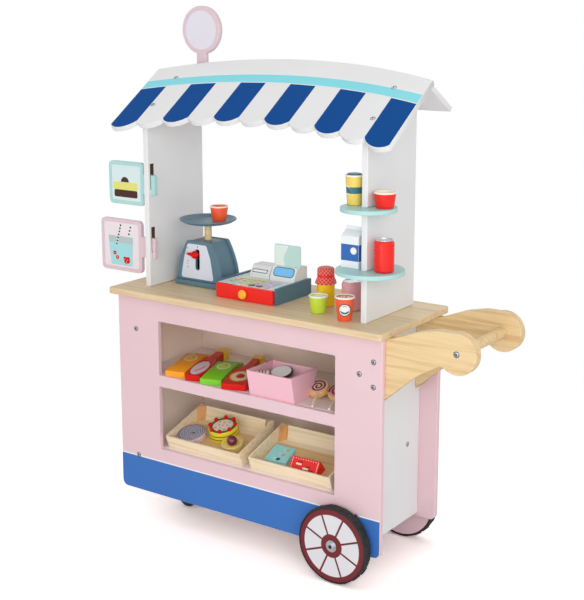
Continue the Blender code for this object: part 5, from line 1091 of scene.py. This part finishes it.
def build_lollipops():
    """Round sweets lying on the middle shelf, each with its stick and a printed spiral whose radius grows evenly
    with the angle."""
    c, s, radius = math.cos(math.radians(24.0)), math.sin(math.radians(24.0)), 0.0195
    share = np.linspace(0.12, 1.0, 121)[:, None]
    swirl = polar(0.0160 * share + 0.0034 * np.linspace(-0.5, 0.5, 2), 2.0 * math.pi * 2.6 * share)
    for number, (x, y, tip, finish) in enumerate((
            (0.1225, -0.0300, (0.1500, -0.0940), "lollipop_face_print"),
            (0.1640, -0.0290, (0.1820, -0.0900), "can_pink_paint_film"))):
        def place(u, v, w, x=x, y=y):
            return lay(x + u, y + v * c - w * s, SHELF_TOP + GAP + (v + radius) * s + w * c)
        rest = [(y + v * c, SHELF_TOP + (v + radius) * s) for v in (-0.013, 0.013)]
        rest += [(y + v * c, SHELF_TOP) for v in (0.013, -0.013)]
        piece("lollipop_rest_%d" % number, "crate_wood", board(rest, 0.016, sideways(x - 0.008), 0.0005, steps=2))
        solid("lollipop_%d" % number, "lollipop_side_lacquer",
              [(radius, 0.0, 0.003), (radius, 0.012, 0.002)], place, 6)
        top = top_of(place, 0.012)
        piece("lollipop_face_%d" % number, finish, film(disc(0.0, 0.0, 0.0175, 64), top))
        piece("lollipop_spiral_%d" % number, "print_purple_red", patch(swirl, over(top)))
        start = np.array([x, y, SHELF_TOP + radius * s + 0.006])
        end = np.array([*tip, SHELF_TOP + 0.0026])
        along = np.array([0.3, 0.5, 0.7, 0.955, 0.985, 0.996, 1.0])[:, None]
        piece("lollipop_stick_%d" % number, "crate_wood",
              sweep(start + (end - start) * along, 0.0023 * np.array([1.0, 1.0, 1.0, 1.0, 0.92, 0.65, 0.3]), 20))


# ---- what lies in the crates and the box

def ball(radius, height):
    """Half profile of a ball, its middle at a height: a half circle from pole to pole, both set on the axis."""
    profile = arc(0.0, height, radius, -math.pi / 2.0, math.pi / 2.0, 12)
    profile[[0, -1], 0] = 0.0
    return profile


def build_crate_toys():
    """Layer cake, ringed round, tart, and two boxes on the sloping crate floors."""
    for name, x in (("left", -0.1018), ("right", 0.0942)):
        body = name + "_crate_body"
        base = in_crate(x, 0.0, 0.0)
        # Floor sheet of warmer, darker pine than the crate walls; part of its darkness is painted shade inside the
        # crates.
        sheet = box_outline(-0.0842, 0.0842, 0.0042, 0.0905, 0.0004)
        piece(name + "_crate_floor_sheet", "crate_floor_pine", film(sheet, top_of(base, 0.0)), body=body)
        blocks = []
        for way in (-1.0, 1.0):
            corner, leg = x + way * 0.0841, -way * 0.0125
            rings = []
            for height in (0.0280, 0.0572):
                rear = 0.012 + 0.008 * height / 0.058 - 0.0039
                rings.append(lay(np.array([corner, corner + leg, corner]), np.array([rear, rear, rear - abs(leg)]),
                                 DECK_TOP + height))
            blocks.append(loft(rings))
        piece(name + "_crate_corner_blocks", "block_pine", *blocks, body=body)

    left = "left_crate_body"
    cake = in_crate(-0.1010, 0.0635)
    solid("layer_cake", "cake_lemon_paint",
          [(0.0285, 0.0, 0.0012), (0.0285, 0.023, 0.0018)], cake, 5, 72,
          body=left, node="berry_cake")
    for number, height in enumerate((0.0068, 0.0140)):
        piece("layer_cake_line_%d" % number, "print_dark_brown",
              turned(hoop(0.0283, 0.0285 + FILM, height, 0.0014), cake, 72, True), body=left)
    top = top_of(cake, 0.023)
    prints(top, [("layer_cake_leaf_ring", "print_dark_green", FILM, disc(0.0, 0.0, 0.0262, 72)),
                 ("layer_cake_cream", "print_cream", 2.0 * FILM, disc(0.0, 0.0, 0.0200, 72))], left)
    piece("layer_cake_spots", "can_pink_paint_film",
          *dots(top, 0.0023, 16, ((0.0, 0.0), (0.008, 0.4), (0.009, 1.9), (0.008, 3.3), (0.009, 4.7), (0.0145, 1.1),
                                  (0.015, 2.6), (0.0145, 4.0), (0.015, 5.5)), 3.0 * FILM), body=left)
    around = polar(0.0247, 2.0 * math.pi * (np.arange(8) + 0.5) / 8.0)
    piece("layer_cake_berries", "deep_red_gloss_paint",
          *[turned(ball(0.0042, 0.0251), moved(cake, u, v), 20) for u, v in around], body=left)

    ringed = in_crate(-0.1575, 0.0335)
    solid("ringed_round", "satin_rose_lacquer",
          [(0.028, 0.0, 0.0015), (0.028, 0.013, 0.002)], ringed, 5, 72,
          body=left)
    face = top_of(ringed, 0.013)
    prints(face, [("ringed_round_rim", "print_slate", 0.00006, disc(0.0, 0.0, 0.0268, 72)),
                  ("ringed_round_face", "print_lilac", FILM, disc(0.0, 0.0, 0.0260, 72))], left)
    rings = []
    angle = np.linspace(0.0, 2.0 * math.pi, 97)[:, None]
    for number in range(5):
        radius = 0.0052 + 0.0044 * number + 0.0006 * np.sin((5 + number) * angle) + np.linspace(-0.0004, 0.0004, 2)
        rings.append(patch(polar(radius, angle) + (0.0025, 0.0), over(face)))
    piece("ringed_round_lines", "print_white", *rings, body=left)
    prints(face, [("ringed_round_dot", "print_black", 2.5 * FILM, disc(0.0060, 0.0, 0.0022, 24))], left)

    tart = in_crate(-0.0596, 0.034)
    solid("cherry_tart", "print_ring_gold",
          [(0.0185, 0.0, 0.0012), (0.0215, 0.012, 0.001), (0.0215, 0.014, 0.001)],
          tart, body=left)
    face = top_of(tart, 0.014)
    piece("cherry_tart_glaze", "print_paper_yellow", film(disc(0.0, 0.0, 0.0196, 64), face), body=left)
    piece("cherry_tart_dots", "print_white",
          *dots(face, 0.0013, 14, [(0.0155, a) for a in np.arange(10) * 0.628], 2.0 * FILM), body=left)
    piece("cherry_tart_cherry", "print_purple_red", turned(ball(0.0100, 0.0225), moved(tart, 0.0066, -0.006), 40),
          body=left)

    right = "right_crate_body"
    slab = in_crate(0.0, 0.0)
    lid = top_of(slab, 0.008)
    mint = rounded([(0.0238, 0.0187, 0.002), (0.0705, 0.0215, 0.002), (0.0623, 0.0666, 0.002),
                    (0.0184, 0.0677, 0.002)])
    piece("mint_snack_box", "snack_cyan_paint", board(mint, 0.008, lid, 0.0010), body=right)
    for number, (finish, u, v, radius) in enumerate((("lime_gloss_paint", 0.0530, 0.0560, 0.0038),
                                                     ("can_pink_paint_film", 0.0520, 0.0415, 0.0040),
                                                     ("print_slate", 0.0500, 0.0270, 0.0040))):
        prints(lid, [("mint_snack_box_mark_%d" % number, finish, FILM, disc(u, v, radius, 32)),
                     ("mint_snack_box_spot_%d" % number, "print_white", FILM,
                      disc(u - 0.0075, v + 0.001, 0.0026, 24))], right)
    edge = rounded([(0.0030, 0.0, 0.0010), (0.0400, 0.0, 0.0010), (0.0300, 0.0240, 0.0012)])
    piece("red_snack_box", "red_gloss_paint", loft([slab(x, edge[:, 0], edge[:, 1]) for x in (0.0840, 0.1440)]),
          body=right)
    rise = math.hypot(0.0270, 0.0240)
    slope = lambda u, v, w: slab(u, 0.0030 + (0.0270 * v + 0.0240 * w) / rise, (0.0240 * v - 0.0270 * w) / rise)
    outer = [disc(u0 + (u1 - u0) * t, v0 + (v1 - v0) * t, 0.0008, 10)
             for u0, v0, u1, v1 in ((0.0870, 0.0325, 0.1410, 0.0325), (0.1410, 0.0305, 0.1410, 0.0040),
                                    (0.0870, 0.0305, 0.0870, 0.0040))
             for t in np.linspace(0.0, 1.0, 11)]
    bars = [box_outline(u, u + 0.0120, v, v + 0.0030, 0.0012)
            for u, v in ((0.0960, 0.0215), (0.1120, 0.0155), (0.1240, 0.0100))]
    dashes = [box_outline(u, u + 0.0090, v, v + 0.0018, 0.0008)
              for u, v in ((0.1000, 0.0262), (0.1175, 0.0202), (0.1250, 0.0145))]
    prints(slope, [("red_snack_box_dots", "print_white", FILM, *outer),
                   ("red_snack_box_bars", "print_cream", FILM, *bars),
                   ("red_snack_box_dashes", "print_black", FILM, *dashes)], right)


def build_box_toys():
    """A pale disc with a dark rim and a small striped roll, each on a block, in the pink box."""
    body = "pink_box_body"
    floor = SHELF_TOP + 0.004
    for name, stand, height in (("tall", box_outline(0.040, 0.072, -0.068, -0.044, 0.002), 0.0275),
                                ("low", box_outline(0.021, 0.038, -0.088, -0.070, 0.002), 0.0230)):
        piece("box_block_" + name, "crate_floor_pine", board(stand, height, lying(floor + GAP), 0.001), body=body)
    face = on_slope(-0.071, floor + 0.0284, math.radians(19.0))
    piece("oval_plate_rim", "print_slate", board(disc(0.0555, 0.020, 0.0208, 64, 0.95), 0.005, face, 0.001),
          body=body)
    piece("oval_plate_face", "plate_white_paint", film(disc(0.0545, 0.020, 0.0188, 64, 0.95), face), body=body)
    radius = 0.0080
    place = lambda u, v, w: lay(0.033 + 0.84 * w - 0.54 * u, -0.079 + 0.54 * w + 0.84 * u, floor + 0.0315 + v)
    solid("striped_roll", "print_white",
          [(radius, -0.012, 0.003), (radius, 0.012, 0.003)], place, 5, 48,
          body=body)
    for finish, starts in (("print_black", (-0.0070, -0.0010, 0.0050)), ("print_yellow", (-0.0040, 0.0020))):
        bands = [turned(hoop(radius - 0.0002, radius + FILM, w, 0.0018), place, 48, True) for w in starts]
        piece("striped_roll_" + finish, finish, *bands, body=body)


# ---- finish, camera and studio

def dress_nodes():
    """Give every CAD node the finish of its material slot."""
    for name, node in frame["nodes"].items():
        node.data.materials.clear()
        node.data.materials.append(PALETTE[BY_SLOT[SLOTS[name]]])


def build_camera():
    """Camera at the photo's place, fitted to it, for an image of 584 by 600."""
    camera = bpy.data.cameras.new("camera")
    item = bpy.data.objects.new("camera", camera)
    bpy.context.scene.collection.objects.link(item)
    camera.lens = 73.85
    camera.sensor_width = 36.0
    camera.shift_y = -0.1
    camera.clip_end = 50.0
    item.location = (1.2393, -1.7841, 0.9879)
    item.rotation_euler = (math.radians(90.0 - 11.003), 0.0, math.radians(34.922))
    bpy.context.scene.camera = item


def build_floor():
    """Pale matt floor. For camera rays it is lifted to white where no shadow falls, with a faint pink tint that paints
    the pink panels' bounced light into its shadow, and fades into the backdrop with distance; to every other ray it is
    plain pale paint."""
    mesh = bpy.data.meshes.new("studio_floor")
    mesh.from_pydata([(-20, -20, 0), (20, -20, 0), (20, 20, 0), (-20, 20, 0)], [], [(0, 1, 2, 3)])
    floor = bpy.data.objects.new("studio_floor", mesh)
    bpy.context.scene.collection.objects.link(floor)
    item = bpy.data.materials.new("pale_floor_paint")
    item.use_nodes = True
    tree = item.node_tree
    tree.nodes.clear()
    point = add(tree, "TexCoord", out=3)
    away = add(tree, "VectorMath", {0: point}, 1, operation="LENGTH")
    share = add(tree, "MapRange", {"Value": away, "From Min": 0.55, "From Max": 1.3}, interpolation_type="SMOOTHSTEP")
    share = add(tree, "Math", {0: share, 1: add(tree, "LightPath")}, operation="MULTIPLY")
    # The faint pink of the camera-ray colour paints light bounced off the pink panels into the floor's shadow.
    level = add(tree, "Mix", {0: add(tree, "LightPath"), 6: linear("F0F0F0"), 7: linear("FFF7F6", 1.72)}, 2,
                data_type="RGBA")
    paint = add(tree, "BsdfDiffuse", {"Color": level})
    white = add(tree, "Emission", {"Color": (1.0, 1.0, 1.0, 1.0), "Strength": 1.0})
    add(tree, "OutputMaterial", {0: add(tree, "MixShader", {0: share, 1: paint, 2: white})})
    mesh.materials.append(item)


def build_studio():
    """White backdrop that only the camera and mirrors see, an even fill, and five soft lamps."""
    world = bpy.data.worlds.new("studio")
    bpy.context.scene.world = world
    world.use_nodes = True
    tree = world.node_tree
    tree.nodes.clear()
    seen = add(tree, "Math", {0: add(tree, "LightPath"), 1: add(tree, "LightPath", out=3)}, operation="MAXIMUM")
    seen = add(tree, "Math", {0: seen, 1: add(tree, "LightPath", out=6)}, operation="MAXIMUM")
    fill = add(tree, "Background", {"Color": (1.0, 1.0, 1.0, 1.0), "Strength": 0.58})
    white = add(tree, "Background", {"Color": (1.0, 1.0, 1.0, 1.0), "Strength": 1.0})
    add(tree, "OutputWorld", {0: add(tree, "MixShader", {0: seen, 1: fill, 2: white})})
    for name, place, size, power, aim in (
            ("key", (2.2, -2.4, 1.4), 1.8, 36.5, (0.0, 0.0, 0.40)),
            ("front", (0.3, -2.8, 0.5), 1.4, 14.5, (0.0, 0.0, 0.30)),
            ("left", (-2.6, -1.4, 1.8), 1.8, 4.0, (0.0, 0.0, 0.5)),
            ("right", (2.8, -0.6, 1.3), 1.6, 6.0, (0.25, 0.0, 0.6)),
            ("top", (0.0, 0.4, 3.2), 2.2, 7.0, (0.0, 0.0, 0.4))):
        light = bpy.data.lights.new(name, "AREA")
        light.size = size
        light.energy = power
        lamp = bpy.data.objects.new(name, light)
        bpy.context.scene.collection.objects.link(lamp)
        lamp.location = place
        lamp.rotation_euler = (Vector(aim) - Vector(place)).to_track_quat("-Z", "Y").to_euler()
    bpy.context.scene.view_settings.view_transform = "Standard"


dress_nodes()
build_roof()
build_signs()
build_panel_prints()
build_round_shelves()
build_handle()
build_wheels()
build_scale()
build_register()
build_standing_toys()
build_lying_toys()
build_lollipops()
build_crate_toys()
build_box_toys()
build_camera()
build_floor()
build_studio()
